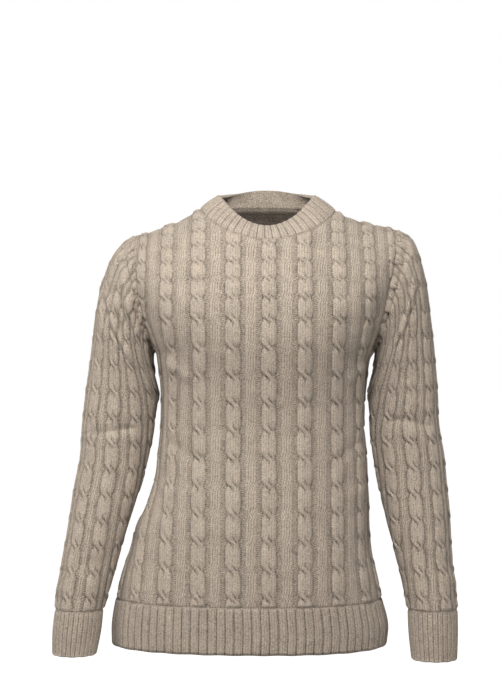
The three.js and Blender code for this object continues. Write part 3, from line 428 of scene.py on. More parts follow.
class SleeveForm:
    """The plain form of a sleeve: rings between an outer and an inner line, from armhole to cuff."""

    STEPS = 192

    def __init__(self, side: Side) -> None:
        """Fills the tables of ring numbers by way down the outer line, and of turns by length."""
        rows = SLEEVES[side]
        self.side = side
        self.bow = ARMHOLES[side][4]
        number = np.arange(len(rows))
        self.lines = [Curve(number, column) for column in zip(*rows)]
        rings = np.linspace(0, len(rows) - 1, (len(rows) - 1) * 10 + 1)
        steps = np.hypot(np.diff(self.lines[0](rings)), np.diff(self.lines[1](rings)))
        ways = np.concatenate([[0], np.cumsum(steps)])
        self.length = float(ways[-1])
        self.ring_at = Curve(ways, rings)
        inner = np.hypot(np.diff(self.lines[2](rings)), np.diff(self.lines[3](rings)))
        self.inner_drop = Curve(ways, np.concatenate([np.cumsum(inner[::-1])[::-1], [0]]))
        self.grid = np.linspace(0, self.length, 400)
        centre, axis, depth, _ = self.ring(self.grid)
        size = np.linalg.norm(axis, axis=-1)
        turn = np.linspace(0, math.pi, self.STEPS + 1)
        x = size[:, None] * np.cos(turn)
        y = depth[:, None] * np.sin(turn)
        run = np.cumsum(np.hypot(np.diff(x, axis=1), np.diff(y, axis=1)), axis=1)
        run = np.concatenate([np.zeros((len(run), 1)), run], axis=1)
        self.half = run[:, -1]
        share = np.linspace(0, 1, self.STEPS + 1)
        self.turns = np.array([np.interp(share * r[-1], r, turn) for r in run])

    def ring(self, way: Array) -> tuple[Array, Array, Array, Array]:
        """Centre, long half-axis, depth and bow of the ring at a way down the outer line."""
        ring = self.ring_at(way)
        out_x, out_z, in_x, in_z, y, depth = (line(ring) for line in self.lines)
        outer = np.stack([out_x, y, out_z], axis=-1)
        inner = np.stack([in_x, y, in_z], axis=-1)
        centre = (outer + inner) / 2
        return centre, outer - centre, depth, self.bow * (1 - smooth(ring / 3))

    def half_length(self, way: Array) -> Array:
        """Half the length round a ring."""
        return np.interp(way, self.grid, self.half)

    def turn(self, c: Array, way: Array) -> Array:
        """Turn from the outer line at a length c round the ring."""
        share = np.clip(np.abs(c) / self.half_length(way), 0, 1)
        row = np.asarray(way, float) / self.length * (len(self.grid) - 1)
        return np.sign(c) * bilinear(self.turns, row, share * self.STEPS)

    def drop(self, turn: Array, way: Array) -> Array:
        """Length of cloth from a place down to the cuff seam."""
        outer = (1 + np.cos(turn)) / 2
        return outer * (self.length - way) + (1 - outer) * self.inner_drop(way)

    def at_turn(self, turn: Array, way: Array) -> Array:
        """Points of the sleeve at a turn and a way."""
        centre, axis, depth, bow = self.ring(way)
        c, s = np.cos(turn), np.sin(turn)
        side = np.stack([bow * s * s, -depth * s, np.zeros_like(s)], axis=-1)
        return centre + axis * c[..., None] + side


def trough(u: Array, half: float, power: float = 2.0) -> Array:
    """Rounded bump of height 1 over -half to half."""
    return np.maximum(0, 1 - np.abs(u / half) ** power) ** 0.5


@dataclass(frozen=True)
class Relief:
    """Height, stitch place and shares of purl, rib and painted shade of points of a knitted panel."""

    height: Array
    stitch_u: Array
    stitch_v: Array
    purl: Array
    rib: Array
    shade: Array


@dataclass(frozen=True)
class CablePattern:
    """Cables with a small rib group between them, in lengths across and rows down the cloth."""

    pitch: float
    pad: float
    strand: float
    strand_half: float
    rib_half: float
    stitch: float
    cable_height: float = 3.0
    cross_span: float = 0.2
    pinch: float = 0.25
    rib_height: float = 1.1

    def relief(self, across: Array, row: Array, way: Array, lean: int) -> Relief:
        """Relief at a length across, a crossing count and a way down the cloth.

        Args:
            across: length from the middle cable, in mm.
            row: crossing count, whole at each crossing, growing downwards.
            way: way down the cloth, in mm.
            lean: 1 where the front strand runs down towards greater lengths across.

        Returns:
            The relief of those points.
        """
        u = across - np.round(across / self.pitch) * self.pitch
        phase = row - np.round(row)
        close = np.exp(-((phase / 0.13) ** 2))
        near = np.exp(-((phase / 0.24) ** 4))
        half = self.pad * (1 - self.pinch * close)
        pad = self.cable_height * (1 - 0.32 * close) * trough(u / half, 1, 3.0)
        front_at = lean * self.strand * np.sin(np.clip(phase / self.cross_span, -1, 1) * math.pi / 2)
        front = (self.cable_height + 0.8 * close) * trough((u - front_at) / self.strand_half, 1, 2.4)
        side = lean * (u - front_at) * 4
        rim = np.abs(u - front_at) - 0.86 * self.strand_half
        under = 0.5 + 0.5 * smooth(0.5 - side * phase)
        # The crease at a crossing lowers the relief and also sets painted shade along the front strand's edge.
        crease = near * np.exp(-((rim / 1.15) ** 2)) * trough(u / (half + 1.2), 1, 6) * under
        height = np.maximum(0, np.where(near > 0.25, np.maximum(pad, front), pad) - 1.8 * crease)
        # Painted shade: a dark line beside each pad, where it rises from the purl ground.
        pad_edge_shade = np.exp(-(((np.abs(u) - half - 0.4) / 1.2) ** 2))
        r = across - (np.floor(across / self.pitch) + 0.5) * self.pitch
        rib = smooth((self.rib_half - np.abs(r)) / 1.4 + 0.5)
        total = np.maximum(height, self.rib_height * rib)
        purl = 1 - np.maximum(smooth(height / 0.8), rib)
        shift = np.where(front >= pad, front_at * close, 0) / self.stitch
        # Painted shade in the colour: the crossing creases and the lines beside the pads.
        shade = np.clip(crease + 0.45 * pad_edge_shade, 0, 1)
        return Relief(total, across / self.stitch - shift, way / ROW_H, purl, rib, shade)


BODY_PATTERN = CablePattern(48.0, 10.2, 4.9, 5.4, 7.0, STITCH_W)
SLEEVE_PATTERN = CablePattern(33.0, 9.2, 4.3, 4.8, 3.5, 3.3, 2.7)


def unevenness(a: Array, b: Array, seed: float) -> Array:
    """Slow, hand-made unevenness between -1 and 1."""
    return (
        np.sin(a * 0.043 + b * 0.019 + seed) + np.sin(b * 0.051 - a * 0.027 + 2.1 * seed)
        + 0.6 * np.sin(a * 0.11 + 1.7 * seed) * np.sin(b * 0.083 + 0.4 * seed)
    ) / 2.6


def vertex_normals(points: Array, faces: Array) -> Array:
    """Smooth normals of a triangle or quad mesh."""
    a, b, c = points[faces[:, 0]], points[faces[:, 1]], points[faces[:, 2]]
    n = np.cross(b - a, c - a)
    if faces.shape[1] == 4:
        n = np.cross(c - a, points[faces[:, 3]] - b)
    total = np.zeros_like(points)
    for k in range(faces.shape[1]):
        for axis in range(3):
            total[:, axis] += np.bincount(faces[:, k], n[:, axis], len(points))
    return total / np.maximum(np.linalg.norm(total, axis=1, keepdims=True), 1e-12)


@dataclass
class ClothMesh:
    """Points, faces and knit attributes of one piece, in mm."""

    points: Array
    quads: list[Array]
    triangles: list[Array]
    stitch: Array
    marks: dict[str, Array]
    seams: list[tuple[Array, bool]]

    def sew(self, stitcher: "SeamStitcher", seed: int) -> None:
        """Adds the linking stitches along the seams of the piece."""
        for seam, (path, closed) in enumerate(self.seams):
            points, faces = stitcher.along(path, closed, seed + seam)
            self.triangles.append(faces + len(self.points))
            self.points = np.concatenate([self.points, points])
            self.stitch = np.concatenate([self.stitch, np.full((len(points), 2), 0.5)])
            for name, values in self.marks.items():
                # The linking stitches get a little painted shade in their colour.
                plain = 0.1 if name == "shade" else 0.0
                self.marks[name] = np.concatenate([values, np.full(len(points), plain)])

    def to_object(self, name: str, material: bpy.types.Material) -> bpy.types.Object:
        """The Blender object of the piece, in metres, with its UV map and attributes."""
        quads = np.concatenate(self.quads) if self.quads else np.zeros((0, 4), int)
        triangles = np.concatenate(self.triangles) if self.triangles else np.zeros((0, 3), int)
        mesh = bpy.data.meshes.new(name)
        mesh.vertices.add(len(self.points))
        mesh.vertices.foreach_set("co", (self.points * MM).astype(np.float32).ravel())
        loops = np.concatenate([quads.ravel(), triangles.ravel()]).astype(np.int32)
        starts = np.concatenate([np.arange(len(quads)) * 4, len(quads) * 4 + np.arange(len(triangles)) * 3])
        mesh.loops.add(len(loops))
        mesh.loops.foreach_set("vertex_index", loops)
        mesh.polygons.add(len(starts))
        mesh.polygons.foreach_set("loop_start", starts.astype(np.int32))
        uv = mesh.uv_layers.new(name="stitches")
        uv.data.foreach_set("uv", self.stitch[loops].astype(np.float32).ravel())
        for label, values in self.marks.items():
            layer = mesh.attributes.new(label, "FLOAT", "POINT")
            layer.data.foreach_set("value", values.astype(np.float32))
        mesh.update(calc_edges=True)
        mesh.validate()
        mesh.polygons.foreach_set("use_smooth", np.ones(len(starts), bool))
        obj = bpy.data.objects.new(name, mesh)
        bpy.context.scene.collection.objects.link(obj)
        obj.data.materials.append(material)
        return obj


@dataclass(frozen=True)
class Outline:
    """Closed outline of a flat piece, with its corners and its points evenly spaced."""

    points: Array
    corners: Array

    @staticmethod
    def through(runs: Sequence[Array], step: float) -> "Outline":
        """An outline through runs of points, each from corner to corner, resampled at about step."""
        pieces, corners = [], []
        for run in runs:
            run = np.asarray(run, float)
            length = np.concatenate([[0], np.cumsum(np.linalg.norm(np.diff(run, axis=0), axis=1))])
            count = max(2, int(round(length[-1] / step)) + 1)
            at = np.linspace(0, length[-1], count)[:-1]
            pieces.append(np.stack([np.interp(at, length, run[:, k]) for k in (0, 1)], axis=1))
            corners.append(run[0])
        return Outline(np.concatenate(pieces), np.array(corners))

    def inside(self, p: Array) -> Array:
        """Which points lie inside."""
        odd = np.zeros(len(p), bool)
        a, b = self.points, np.roll(self.points, -1, axis=0)
        for (ax, ay), (bx, by) in zip(a, b):
            if ay == by:
                continue
            cross = (ay > p[:, 1]) != (by > p[:, 1])
            odd ^= cross & (p[:, 0] < (bx - ax) * (p[:, 1] - ay) / (by - ay) + ax)
        return odd

    def nearest(self, p: Array) -> tuple[Array, Array, Array]:
        """Nearest outline point, its distance and its place along the outline, for each point."""
        a, b = self.points, np.roll(self.points, -1, axis=0)
        d = b - a
        size = (d * d).sum(1)
        best = np.full(len(p), np.inf)
        point, place = np.zeros_like(p), np.zeros(len(p))
        for start in range(0, len(p), 4000):
            q = p[start:start + 4000]
            k = ((q[:, None] - a) * d).sum(2) / size
            k = np.clip(k, 0, 1)
            foot = a + k[..., None] * d
            dist = np.linalg.norm(q[:, None] - foot, axis=2)
            i = dist.argmin(1)
            rows = np.arange(len(q))
            best[start:start + 4000] = dist[rows, i]
            point[start:start + 4000] = foot[rows, i]
            place[start:start + 4000] = i + k[rows, i]
        return point, best, place


@dataclass
class FlatGrid:
    """Square grid of a flat piece, its edge drawn onto the outline."""

    places: Array
    quads: Array
    rim: Array
    rim_place: Array
    edge_distance: Array

    @staticmethod
    def fill(outline: Outline, step: float) -> "FlatGrid":
        """Grid cells wholly inside an outline, with their rim moved onto it.

        Args:
            outline: the closed outline, in mm.
            step: side of a cell, in mm.

        Returns:
            The grid, with its rim in order round the outline.
        """
        lo, hi = outline.points.min(0) - step, outline.points.max(0) + step
        n = np.ceil((hi - lo) / step).astype(int)
        xs, ys = lo[0] + step * np.arange(n[0] + 1), lo[1] + step * np.arange(n[1] + 1)
        grid = np.stack(np.meshgrid(xs, ys, indexing="ij"), axis=-1)
        inside = outline.inside(grid.reshape(-1, 2)).reshape(grid.shape[:2])
        cells = inside[:-1, :-1] & inside[1:, :-1] & inside[1:, 1:] & inside[:-1, 1:]
        index = np.arange(inside.size).reshape(inside.shape)
        i, j = np.nonzero(cells)
        quads = np.stack([index[i, j], index[i + 1, j], index[i + 1, j + 1], index[i, j + 1]], axis=1)
        used, flat = np.unique(quads, return_inverse=True)
        quads = flat.reshape(quads.shape)
        places = grid.reshape(-1, 2)[used]
        edges = np.concatenate([quads[:, [k, (k + 1) % 4]] for k in range(4)])
        key = np.sort(edges, axis=1)
        _, first, uses = np.unique(key, axis=0, return_index=True, return_counts=True)
        border = edges[first[uses == 1]]
        follow = dict(zip(border[:, 0].tolist(), border[:, 1].tolist()))
        start = int(border[0, 0])
        rim, at = [start], follow[start]
        while at != start:
            rim.append(at)
            at = follow[at]
        rim = np.array(rim)
        foot, _, place = outline.nearest(places[rim])
        for corner in outline.corners:
            k = int(np.linalg.norm(foot - corner, axis=1).argmin())
            foot[k] = corner
            place[k] = outline.nearest(corner[None])[2][0]
        off = places[rim] - foot
        reach = np.maximum(np.linalg.norm(off, axis=1, keepdims=True), 1e-9)
        places = places.copy()
        places[rim] = foot + off * np.minimum(1, SEAM_HALF / reach)
        turn = int(place.argmin())
        rim, place = np.roll(rim, -turn), np.maximum.accumulate(np.roll(place, -turn))
        near = np.full(len(places), 1e3)
        _, dist, _ = outline.nearest(places)
        near = np.minimum(near, dist)
        near[rim] = 0
        return FlatGrid(places, quads, rim, place, near)


def zip_rims(a: Array, a_at: Array, b: Array, b_at: Array) -> Array:
    """Triangles between two closed rims given by index and by place along the same outline."""
    out: list[tuple[int, int, int]] = []
    i = j = 0
    while i < len(a) or j < len(b):
        next_a = a_at[i + 1] if i + 1 < len(a) else np.inf
        next_b = b_at[j + 1] if j + 1 < len(b) else np.inf
        if i < len(a) and (next_a <= next_b or j >= len(b)):
            out.append((a[i % len(a)], b[j % len(b)], a[(i + 1) % len(a)]))
            i += 1
        else:
            out.append((a[i % len(a)], b[j % len(b)], b[(j + 1) % len(b)]))
            j += 1
    return np.array(out)


def marks(relief: Relief, height: Array, inner: int) -> dict[str, Array]:
    """Point attributes of a panel: those of its outer side, then plain purl and a little painted shade for the inner
    points.
    """
    sides = (("purl", relief.purl, 1.0), ("rib", relief.rib, 0.0), ("shade", relief.shade, 0.2), ("height", height, 1.0))
    return {name: np.concatenate([outer.reshape(-1), np.full(inner, plain)]) for name, outer, plain in sides}


@dataclass
class PanelBuilder:
    """Makes the front and the back from the torso form."""

    form: TorsoForm
    step: float
    inner_step: float = 6.5

    def outline(self, facing: Facing) -> Outline:
        """Flat outline of a panel: hem, sides, armholes, shoulders and neck."""
        f, form = int(facing), self.form
        z = np.linspace(BODY_HEM_Z, UNDERARM_Z, 120)
        right = np.stack([form.full_length(z, 1, f), z], axis=1)
        left = np.stack([form.full_length(z, -1, f), z], axis=1)
        holes = {}
        for side in Side:
            t, s, _ = form.armholes[side, f]
            holes[side] = np.stack([s, t], axis=1)
        turn = np.linspace(0, math.pi, 90)
        s, t = form.neck_place(turn, f)
        neck = np.stack([s, t], axis=1)
        runs = [np.array([left[0], right[0]]), right[:-1], holes[Side.RIGHT]]
        runs[1] = np.vstack([right[:-1], holes[Side.RIGHT][:1]])
        tip = holes[Side.RIGHT][-1]
        s_line = np.linspace(tip[0], neck[0, 0], 40)
        runs.append(np.stack([s_line, form.roof_top(s_line, f)], axis=1))
        runs.append(neck)
        tip = holes[Side.LEFT][-1]
        s_line = np.linspace(neck[-1, 0], tip[0], 40)
        runs.append(np.stack([s_line, form.roof_top(s_line, f)], axis=1))
        runs.append(holes[Side.LEFT][::-1])
        runs.append(np.vstack([holes[Side.LEFT][:1], left[::-1][1:]]))
        return Outline.through(runs, 2.0)

    def build(self, facing: Facing) -> ClothMesh:
        """The panel, knitted outside and plain inside.

        Args:
            facing: front or back.

        Returns:
            The mesh of the panel.
        """
        outline = self.outline(facing)
        fine = FlatGrid.fill(outline, self.step)
        coarse = FlatGrid.fill(outline, self.inner_step)
        flip = facing is Facing.BACK
        node = "back_panel" if flip else "front_panel"
        quads = fine.quads[:, ::-1] if flip else fine.quads
        s, t = fine.places.T
        base = self.form.panel(s, t, facing)
        bend = fold_rise(node, s, t, fine.edge_distance) + 0.7 * unevenness(s, t, 7.0) * smooth(fine.edge_distance / 20)
        base = base + vertex_normals(base, quads) * bend[:, None]
        rows = list(BODY_CROSS_TOP)
        while rows[-1] > BODY_HEM_Z - BODY_CROSS_STEP:
            rows.append(rows[-1] - BODY_CROSS_STEP)
        count = np.interp(-t, -np.array(rows, float), np.arange(len(rows)))
        wobble = 0.5 * unevenness(s, t, 1.0 + facing)
        relief = BODY_PATTERN.relief(s + wobble, count, -t, 1)
        fade = smooth(fine.edge_distance / 4)
        height = relief.height * (1 + 0.07 * unevenness(t, s, 4.0)) * fade
        normal = vertex_normals(base, quads)
        outer = base + normal * (HALF_WALL + height)[:, None]
        si, ti = coarse.places.T
        inner_base = self.form.panel(si, ti, facing)
        inner_quads = coarse.quads if flip else coarse.quads[:, ::-1]
        inner_bend = fold_rise(node, si, ti, coarse.edge_distance)
        inner_base = inner_base - vertex_normals(inner_base, inner_quads) * inner_bend[:, None]
        inner_normal = -vertex_normals(inner_base, inner_quads)
        inner = inner_base - inner_normal * HALF_WALL
        start = len(outer)
        strip = zip_rims(fine.rim, fine.rim_place, coarse.rim + start, coarse.rim_place)
        strip = strip if not flip else strip[:, ::-1]
        stitch = np.concatenate([
            np.stack([relief.stitch_u, relief.stitch_v], axis=1),
            np.stack([si / STITCH_W, -ti / ROW_H], axis=1),
        ])
        return ClothMesh(
            np.concatenate([outer, inner]), [quads, inner_quads + start], [strip], stitch,
            marks(relief, height, len(si)), self._seams(facing, fine, outer),
        )


    def _seams(self, facing: Facing, grid: FlatGrid, outer: Array) -> list[tuple[Array, bool]]:
        """Side and shoulder seams, which the front carries for both panels."""
        if facing is Facing.BACK:
            return []
        s, t = grid.places[grid.rim].T
        top = self.form.roof_top(s, facing)
        runs = []
        for sign in (-1, 1):
            reach = np.abs(self.form.full_length(t, sign, facing))
            low = (s * sign > 0) & (t < UNDERARM_Z) & (np.abs(s) > reach - 1) & (t > BODY_HEM_Z + 1)
            high = (s * sign > NECK_HALF_S) & (t > top - 1)
            for pick, key in ((low, t), (high, np.abs(s))):
                rim = grid.rim[pick]
                runs.append((outer[rim[np.argsort(key[pick])]], False))
        return runs


@dataclass
class SleeveBuilder:
    """Makes a sleeve from its rings."""

    columns: int
    rows: int
    inner_rows: int = 76

    def build(self, side: Side) -> ClothMesh:
        """The sleeve, knitted outside and plain inside."""
        form = SleeveForm(side)
        turn_share = (np.arange(self.columns) + 0.5) / self.columns * 2 - 1
        node = f"sleeve_{side.value}"
        index = np.arange(self.rows * self.columns).reshape(self.rows, self.columns)
        quads = self._quads(index, side is Side.LEFT)
        ways = np.linspace(SEAM_HALF, form.length - SEAM_HALF, self.rows)
        share, way = np.meshgrid(turn_share, ways)
        c = share * form.half_length(way)
        turn = form.turn(c, way)
        ends = np.minimum(way, form.length - way)
        seam = form.half_length(way) - np.abs(c)
        near = np.minimum(ends, seam)
        flat_base = form.at_turn(turn, way).reshape(-1, 3)
        bend = fold_rise(node, c, way, near) + 0.6 * unevenness(c, way, 5.0 + side.sign) * smooth(near / 20)
        flat_base = flat_base + vertex_normals(flat_base, quads) * bend.reshape(-1)[:, None]
        rows = (SLEEVE_CROSS_FIRST - form.drop(turn, way)) / SLEEVE_CROSS_STEP
        seed = 2.0 + side.sign
        wobble = 0.4 * unevenness(c, way, seed)
        relief = SLEEVE_PATTERN.relief(c + wobble, rows, way, -side.sign)
        fade = smooth(ends / 4) * smooth(seam / 4)
        lift = relief.height * (1 + 0.07 * unevenness(way, c, seed + 3)) * fade
        normal = vertex_normals(flat_base, quads)
        outer = flat_base + normal * (HALF_WALL + lift).reshape(-1)[:, None]
        inner_ways = np.linspace(SEAM_HALF, form.length - SEAM_HALF, self.inner_rows)
        share_in, way_in = np.meshgrid(turn_share, inner_ways)
        c_in = share_in * form.half_length(way_in)
        inner_base = form.at_turn(form.turn(c_in, way_in), way_in).reshape(-1, 3)
        inner_index = np.arange(self.inner_rows * self.columns).reshape(self.inner_rows, self.columns)
        inner_quads = self._quads(inner_index, side is Side.RIGHT)
        inner_near = np.minimum(np.minimum(way_in, form.length - way_in), form.half_length(way_in) - np.abs(c_in))
        inner_bend = fold_rise(node, c_in, way_in, inner_near).reshape(-1)
        inner_base = inner_base - vertex_normals(inner_base, inner_quads) * inner_bend[:, None]
        inner = inner_base + vertex_normals(inner_base, inner_quads) * HALF_WALL
        start = len(outer)
        ring = np.arange(self.columns)
        after = (ring + 1) % self.columns
        rims = []
        for out_row, in_row, turned in ((0, 0, False), (self.rows - 1, self.inner_rows - 1, True)):
            a, b = index[out_row], inner_index[in_row] + start
            rim = np.stack([a[ring], b[ring], b[after], a[after]], axis=1)
            rims.append(rim[:, ::-1] if turned == (side is Side.RIGHT) else rim)
        stitch = np.concatenate([
            np.stack([relief.stitch_u, relief.stitch_v], axis=-1).reshape(-1, 2),
            np.stack([c_in / 3.3, way_in / ROW_H], axis=-1).reshape(-1, 2),
        ])
        return ClothMesh(
            np.concatenate([outer, inner]), [quads, inner_quads + start, *rims], [], stitch,
            marks(relief, lift, len(inner)), [(outer[index[0]], True), (outer[index[2:-2, 0]], False)],
        )

    @staticmethod
    def _quads(index: Array, turned: bool) -> Array:
        """Quads of a closed tube of rows."""
        after = np.roll(index, -1, axis=1)
        quads = np.stack([index[:-1], after[:-1], after[1:], index[1:]], axis=-1).reshape(-1, 4)
        return quads[:, ::-1] if turned else quads


@dataclass(frozen=True)
class RibStyle:
    """Ribs round a band: how many, how high and how wide a share of the repeat each takes."""

    count: int
    height: float
    points: int
    width_share: float = 0.94

    def wave(self, place: Array) -> Array:
        """Height over the ground, for places counted in ribs."""
        u = (place - np.floor(place) - 0.5) / (self.width_share / 2)
        return self.height * np.maximum(0, 1 - np.abs(u) ** 3.4) ** 0.5

    def valley(self, wave: Array, side: Array, ribbed: Array) -> Array:
        """Share of purl ground between the ribs, which also sets their painted shade; plain at the seam and inside."""
        deep = 1 - smooth(wave / self.height / 0.75)
        return np.where(side > 0, deep * ribbed, 0.35)


@dataclass
class BandBuilder:
    """Makes the ribbed edges as sections swept round their opening."""

    form: TorsoForm
    hem: RibStyle = RibStyle(42, 1.8, 12)
    cuff: RibStyle = RibStyle(30, 1.4, 12)
    neck: RibStyle = RibStyle(54, 1.4, 12)

    def sweep(self, sections: Array, closed: bool, purl: Array, v_of: Array, turned: bool, ribs: float) -> ClothMesh:
        """Closed surface through sections, each a loop of points.

        Args:
            sections: station, loop point, coordinate.
            closed: whether the last station joins the first.
            purl: purl share by station and loop point.
            v_of: rows down the cloth by loop point.
            turned: whether the faces are turned over.
            ribs: stitches per station, for the stitch map.

        Returns:
            The mesh.
        """
        n, m, _ = sections.shape
        index = np.arange(n * m).reshape(n, m)
        after = np.roll(index, -1, axis=0)
        if not closed:
            index, after = index[:-1], after[:-1]
        nxt, nxt_after = np.roll(index, -1, axis=1), np.roll(after, -1, axis=1)
        quads = np.stack([index, after, nxt_after, nxt], axis=-1).reshape(-1, 4)
        quads = quads[:, ::-1] if turned else quads
        triangles = []
        if not closed:
            last = (n - 1) * m
            k = np.arange(1, m - 1)
            caps = [np.stack([0 * k, k, k + 1], axis=1), np.stack([last + 0 * k, last + k + 1, last + k], axis=1)]
            triangles = [c[:, ::-1] if turned else c for c in caps]
        u = np.repeat(np.arange(n) * ribs, m)
        stitch = np.stack([u, np.tile(v_of, n)], axis=1)
        flat = purl.reshape(-1)
        # Painted shade: the rib valleys are darkened in the colour, and the inside of the band evenly a little.
        shares = {"purl": 0.6 * flat, "rib": 1 - flat, "shade": 0.85 * flat, "height": 1.5 * (1 - flat)}
        seam = (sections[:, 0], closed)
        return ClothMesh(sections.reshape(-1, 3), [quads], triangles, stitch, shares, [seam])

    @staticmethod
    def _loop(style: RibStyle, rise: float, thick: float, hem_round: bool) -> tuple[Array, Array, Array]:
        """Profile of a band: share of the rise, side (1 outer, -1 inner) and rib share."""
        outer = np.concatenate([[0, 0.012, 0.03, 0.055], np.linspace(0.085, 0.965, max(6, int(rise / 2.4)))])
        ribbed = smooth(outer / 0.06)
        turn = np.linspace(math.pi / 2, -math.pi / 2, 7)
        share = np.concatenate([outer, 0.965 + 0.035 * np.cos(turn), [0.9, 0.5, 0.1, 0]])
        side = np.concatenate([np.ones(len(outer)), np.sin(turn), [-1, -1, -1, -1]])
        edge = np.clip(np.sin(turn) * 0.5 + 0.5, 0, 1) if hem_round else np.zeros(7)
        return share, side, np.concatenate([ribbed, edge, [0, 0, 0, 0]])

    def build_hem(self, facing: Facing) -> ClothMesh:
        """The hem rib of the front or the back."""
        f, style = int(facing), self.hem
        n = style.count * style.points
        share, side, ribbed = self._loop(style, 64, WALL, True)
        place = np.linspace(0, style.count, n + 1)
        z = BODY_HEM_Z + (HEM_END_Z - BODY_HEM_Z) * share
        stations, levels = np.meshgrid(place / style.count, z, indexing="ij")
        lo, hi = self.form.full_length(levels, -1, f), self.form.full_length(levels, 1, f)
        s = lo + (hi - lo) * stations
        x, y = self.form.section(s, levels, f)
        step = 0.5
        x0, y0 = self.form.section(np.clip(s - step, lo, hi), levels, f)
        x1, y1 = self.form.section(np.clip(s + step, lo, hi), levels, f)
        nx, ny = (y1 - y0) * -f, (x1 - x0) * f
        size = np.maximum(np.hypot(nx, ny), 1e-9)
        wave = style.wave(place)[:, None] * ribbed
        wall = HALF_WALL * side
        lift = wave + wall
        uneven = 0.3 * np.sin(place * 1.9)[:, None] * share
        points = np.stack([x + nx / size * lift, y + ny / size * lift, levels + uneven], axis=-1)
        purl = style.valley(wave, side, ribbed)
        return self.sweep(points, False, purl, -z / ROW_H, f > 0, 3.4 / style.points)

    def build_cuff(self, side: Side) -> ClothMesh:
        """A cuff."""
        z_key, x, y, width, depth = zip(*CUFFS[side])
        curves = [Curve(z_key, v) for v in (x, y, width, depth)]
        style = self.cuff
        n = style.count * style.points
        top, end = z_key[0], z_key[-1]
        share, facing, ribbed = self._loop(style, top - end, WALL, True)
        place = np.arange(n) / style.points
        z = top + (end - top) * share
        turn, levels = np.meshgrid(place / style.count * 2 * math.pi, z, indexing="ij")
        cx, cy, a, b = (curve(levels) for curve in curves)
        c, s = np.cos(turn), np.sin(turn)
        nx, ny = side.sign * c / a, -s / b
        size = np.hypot(nx, ny)
        wave = style.wave(place)[:, None] * ribbed
        wall = HALF_WALL * facing
        lift = wave + wall
        points = np.stack(
            [cx + side.sign * a * c + nx / size * lift, cy - b * s + ny / size * lift,
             levels + 0.25 * np.sin(place * 2.3)[:, None] * share], axis=-1
        )
        purl = style.valley(wave, facing, ribbed)
        return self.sweep(points, True, purl, -z / ROW_H, side is Side.LEFT, 2.0 / style.points)

    def build_neck(self) -> ClothMesh:
        """The folded neckband."""
        style = self.neck
        n = style.count * style.points
        place = np.arange(n) / style.points
        turn_all = place / style.count * 2 * math.pi
        front = turn_all <= math.pi
        turn = np.where(front, turn_all, 2 * math.pi - turn_all)
        facing = np.where(front, -1.0, 1.0)
        seam = np.where(
            front[:, None], self.form.neck_seam(turn, Facing.FRONT), self.form.neck_seam(turn, Facing.BACK)
        )
        s, c = np.sin(turn), np.cos(turn)
        top_x, half_x, front_y, back_y, front_z, side_z, back_z = NECK_TOP
        far = np.where(front, front_z, back_z)
        top = np.stack(
            [top_x + half_x * c, (front_y + back_y) / 2 + facing * (back_y - front_y) / 2 * s,
             side_z + (far - side_z) * s * s], axis=-1
        )
        rise = top - seam
        around = np.stack([s, -facing * c, np.zeros_like(s)], axis=-1)
        out = np.cross(rise, around)
        out /= np.linalg.norm(out, axis=1, keepdims=True)
        away = np.stack([c, facing * s, np.full_like(s, 0.2)], axis=-1)
        out *= np.sign((out * away).sum(1))[:, None]
        share, side, ribbed = self._loop(style, 27, NECK_THICK, False)
        wave = style.wave(place)[:, None] * ribbed * (side > 0)
        wall = side * (HALF_WALL + (NECK_THICK / 2 - HALF_WALL) * smooth(share / 0.15))
        bulge = 1.2 * np.sin(np.clip(share, 0, 1) * math.pi)
        lift = wave + wall + bulge
        points = seam[:, None] + rise[:, None] * share[:, None] + out[:, None] * lift[..., None]
        purl = style.valley(wave, side, ribbed)
        return self.sweep(points, True, purl, -share * 27 / ROW_H, True, 2.6 / style.points)


@dataclass(frozen=True)
class WoolFinish:
    """Colours and surface of the wool, and how strongly shade is painted into the colour in hollows, stitch gaps and on
    the purl ground.
    """

    light: tuple[float, float, float] = (0.61, 0.518, 0.426)
    dark: tuple[float, float, float] = (0.085, 0.07, 0.056)
    base_tone: float = 0.7
    fleck: float = 1.2
    cloud: float = 0.35
    # Painted shade strengths: the recessed purl ground, the gaps between stitch and rib columns, and the hollows.
    purl_ground_shade: float = 0.22
    stitch_gap_shade: float = 0.14
    rib_gap_shade: float = 0.3
    painted_shade_strength: float = 0.5
    roughness: float = 0.93
    sheen: float = 0.12
    bump: float = 0.75


class NodeTree:
    """Short ways to add and join shader nodes."""

    def __init__(self, tree: bpy.types.NodeTree) -> None:
        """Keeps the tree."""
        self.tree = tree

    def add(self, kind: str, **settings: object) -> bpy.types.Node:
        """A new node with its settings."""
        node = self.tree.nodes.new(kind)
        for key, value in settings.items():
            setattr(node, key, value)
        return node

    def join(self, source: bpy.types.NodeSocket, target: bpy.types.NodeSocket) -> None:
        """A link between two sockets."""
        self.tree.links.new(source, target)

    def math(self, operation: str, *values: bpy.types.NodeSocket | float) -> bpy.types.NodeSocket:
        """Output of a math node on sockets or numbers."""
        node = self.add("ShaderNodeMath", operation=operation)
        for i, value in enumerate(values):
            if isinstance(value, (int, float)):
                node.inputs[i].default_value = value
            else:
                self.join(value, node.inputs[i])
        return node.outputs[0]

    def noise(self, place: bpy.types.NodeSocket, scale: float, detail: float) -> bpy.types.NodeSocket:
        """Output of a noise texture at a place."""
        node = self.add("ShaderNodeTexNoise")
        node.inputs["Scale"].default_value = scale
        node.inputs["Detail"].default_value = detail
        self.join(place, node.inputs["Vector"])
        return node.outputs["Fac"]


